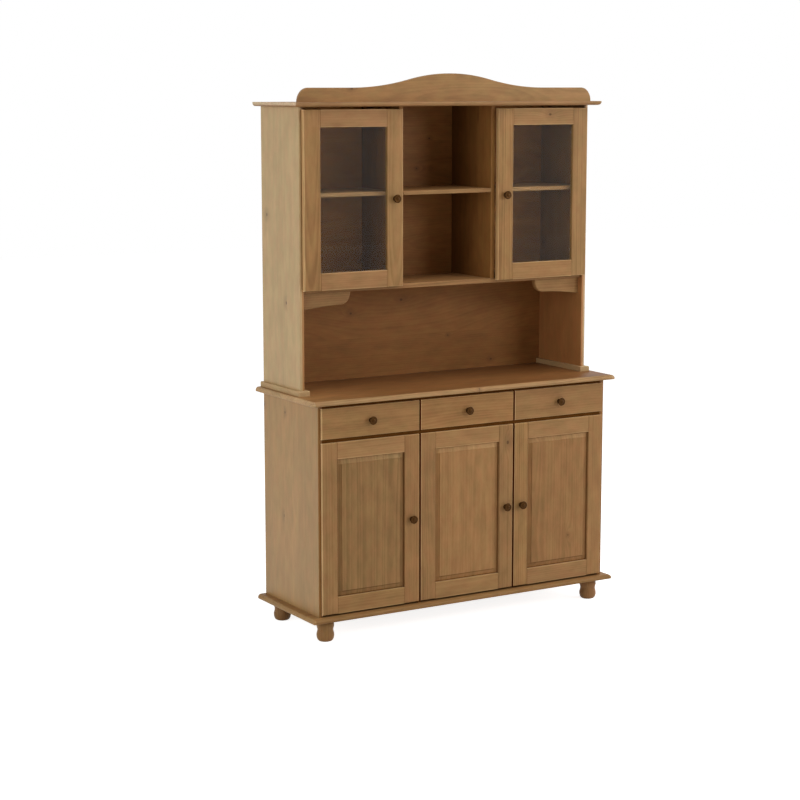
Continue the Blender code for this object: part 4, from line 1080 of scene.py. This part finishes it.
def set_cup(name, x, back, z, body):
    """A hinge's cup with its flange, and an ear with its screw at each end, on the back of a door."""
    steel_piece(turned(name, CUP_OUTLINE, (x, back - CUP_DEPTH, z), way=(0, 1, 0)), body)
    for end, side in (("lower", -1), ("upper", 1)):
        level = z + side * SCREW_SPACING
        place = (x, back + FLANGE_THICKNESS, level)
        steel_piece(turned(f"{name}_screw_{end}", SCREW_HEAD, place, way=(0, 1, 0)), body)
        ear = block(f"{name}_ear_{end}", (x - EAR_WIDTH / 2, back, level - EAR_HEIGHT / 2),
                    (x + EAR_WIDTH / 2, back + FLANGE_THICKNESS, level + EAR_HEIGHT / 2))
        edit(ear)
        round_over(ear, runs_along(1), EAR_ROUND)
        steel_piece(leave(ear), body)


def raise_panel(node, door_front, stain, contrast, spacing):
    """A panel with a bevel, a small shoulder round its field and a shallow rise behind."""
    box = low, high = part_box(node)
    tongue = door_front + TONGUE_SETBACK
    obj = block(f"{node}_raised", (low[0], tongue, low[2]), (high[0], tongue + TONGUE_THICKNESS, high[2]))
    edit(obj)
    pick(obj, "FACE", on(tongue, 1))
    bpy.ops.mesh.inset(thickness=TONGUE_REACH)
    bpy.ops.mesh.inset(thickness=PANEL_BEVEL[0], depth=PANEL_BEVEL[1])
    bpy.ops.mesh.inset(thickness=PANEL_SHOULDER[0], depth=PANEL_SHOULDER[1])
    pick(obj, "FACE", on(tongue + TONGUE_THICKNESS, 1))
    bpy.ops.mesh.inset(thickness=TONGUE_REACH + BACK_MARGIN)
    bpy.ops.mesh.inset(thickness=BACK_BEVEL[0], depth=BACK_BEVEL[1])
    leave(obj)
    smooth(obj, 30)
    pine(obj, "upright", stain, stave=0.4, spacing=spacing, depth=0.035, knots=0.12, contrast=contrast,
         tones=panel_tones(box))
    finish_piece(obj, node.replace("_panel", ""), "stained_pine", node)


def panel_tones(box):
    """The bevels' painted light and shade, painted shade along the frame, and a painted shade line below the
    field.
    """
    reach = TONGUE_REACH + PANEL_BEVEL[0]
    tones = []
    for axis, side, tone in ((2, 1, TOP_BEVEL_LIGHT), (2, -1, LOW_BEVEL_SHADE), (0, -1, SIDE_BEVEL_SHADE), (0, 1, SIDE_BEVEL_SHADE)):
        corners = [off_end(box, 2 - axis, end, reach / 2, BEVEL_CORNER_SOFTNESS) for end in (-1, 1)]
        tones.append((tone, (near_end(box, axis, side, reach, BEVEL_SOFTNESS), *corners)))
        line = near_end(box, axis, side, TONGUE_REACH + FRAME_LINE[0], FRAME_LINE[1])
        tones.append((JOINT_STAIN_AND_FRAME_SHADE, (line,)))
    top = near_end(box, 2, -1, reach + SHOULDER_LINE_TOP[0], SHOULDER_LINE_TOP[1])
    foot = off_end(box, 2, -1, reach + SHOULDER_LINE_FOOT[0], SHOULDER_LINE_FOOT[1])
    ends = [off_end(box, 0, end, reach, SHOULDER_END_SOFTNESS) for end in (-1, 1)]
    tones.append((SHOULDER_SHADE, (top, foot, *ends)))
    return tones


def hang_doors():
    """The doors with their panels or panes, and the arms of the hinges."""
    for column in COLUMNS:
        node = f"base_door_frame_{column}"
        hung = 1 if column == "right" else -1
        framed_door(node, STILE_WIDTH, RAIL_WIDTH, True, PANEL_GROOVE, hung)
        raise_panel(f"base_door_panel_{column}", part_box(node)[0][1], *PANELS[column])
    for name, side in SIDES.items():
        node = f"glass_door_frame_{name}"
        framed_door(node, GLASS_STILE_WIDTH, GLASS_RAIL_WIDTH, False, GLASS_GROOVE, side)
        dress(frame["nodes"][f"glass_door_pane_{name}"], GLASS)
    for node, obj in frame["nodes"].items():
        if node.startswith("hinge_"):
            dress(obj, STEEL)


# Studio

def light_path_white(tree, plain, white):
    """A strength that is white for what sees the background, and plain for what it lights."""
    path = tree.nodes.new("ShaderNodeLightPath")
    seen = maths(tree, "MAXIMUM", path.outputs["Is Camera Ray"], path.outputs["Is Glossy Ray"])
    seen = maths(tree, "MAXIMUM", seen, path.outputs["Is Transmission Ray"])
    return maths(tree, "MULTIPLY_ADD", seen, white - plain, plain)


def lay_floor():
    """A pale floor that is white where it is seen, and clear from below."""
    start_clean()
    bpy.ops.mesh.primitive_plane_add(size=FLOOR_SIZE)
    floor = keep("floor")
    material, tree, shader = new_material("Pale floor")
    below = tree.nodes.new("ShaderNodeNewGeometry").outputs["Backfacing"]
    fill_inputs(tree, shader, {
        "Base Color": (FLOOR_GREY, FLOOR_GREY, FLOOR_GREY, 1), "Roughness": 0.9, "Specular IOR Level": 0.0,
        "Emission Color": (1, 1, 1, 1), "Emission Strength": light_path_white(tree, 0.0, FLOOR_GLOW),
        "Alpha": maths(tree, "SUBTRACT", 1.0, below)})
    dress(floor, material)


def set_lights():
    """A white world and the softboxes."""
    world = bpy.data.worlds.new("Studio")
    bpy.context.scene.world = world
    world.use_nodes = True
    tree = world.node_tree
    strength = light_path_white(tree, WORLD_LIGHT, 1.0)
    fill_inputs(tree, tree.nodes["Background"], {"Color": (1, 1, 1, 1), "Strength": strength})
    for name, place, aim, size, power in LAMPS:
        light = bpy.data.lights.new(name, "AREA")
        light.size = size
        light.energy = power
        lamp = bpy.data.objects.new(name, light)
        lamp.location = place
        lamp.rotation_euler = (Vector(aim) - Vector(place)).to_track_quat("-Z", "Y").to_euler()
        bpy.context.scene.collection.objects.link(lamp)


def set_camera():
    """The photograph's viewing angle."""
    data = bpy.data.cameras.new("Camera")
    data.lens = CAMERA_LENS
    data.sensor_width = CAMERA_SENSOR
    camera = bpy.data.objects.new("Camera", data)
    camera.location = CAMERA_PLACE
    camera.rotation_euler = (math.radians(90 - CAMERA_DIP), 0, math.radians(CAMERA_TURN))
    bpy.context.scene.collection.objects.link(camera)
    bpy.context.scene.camera = camera
    bpy.context.scene.view_settings.view_transform = "Standard"


dress_boards()
turn_feet()
turn_knobs()
dress_drawers()
hang_doors()
lay_floor()
set_lights()
set_camera()
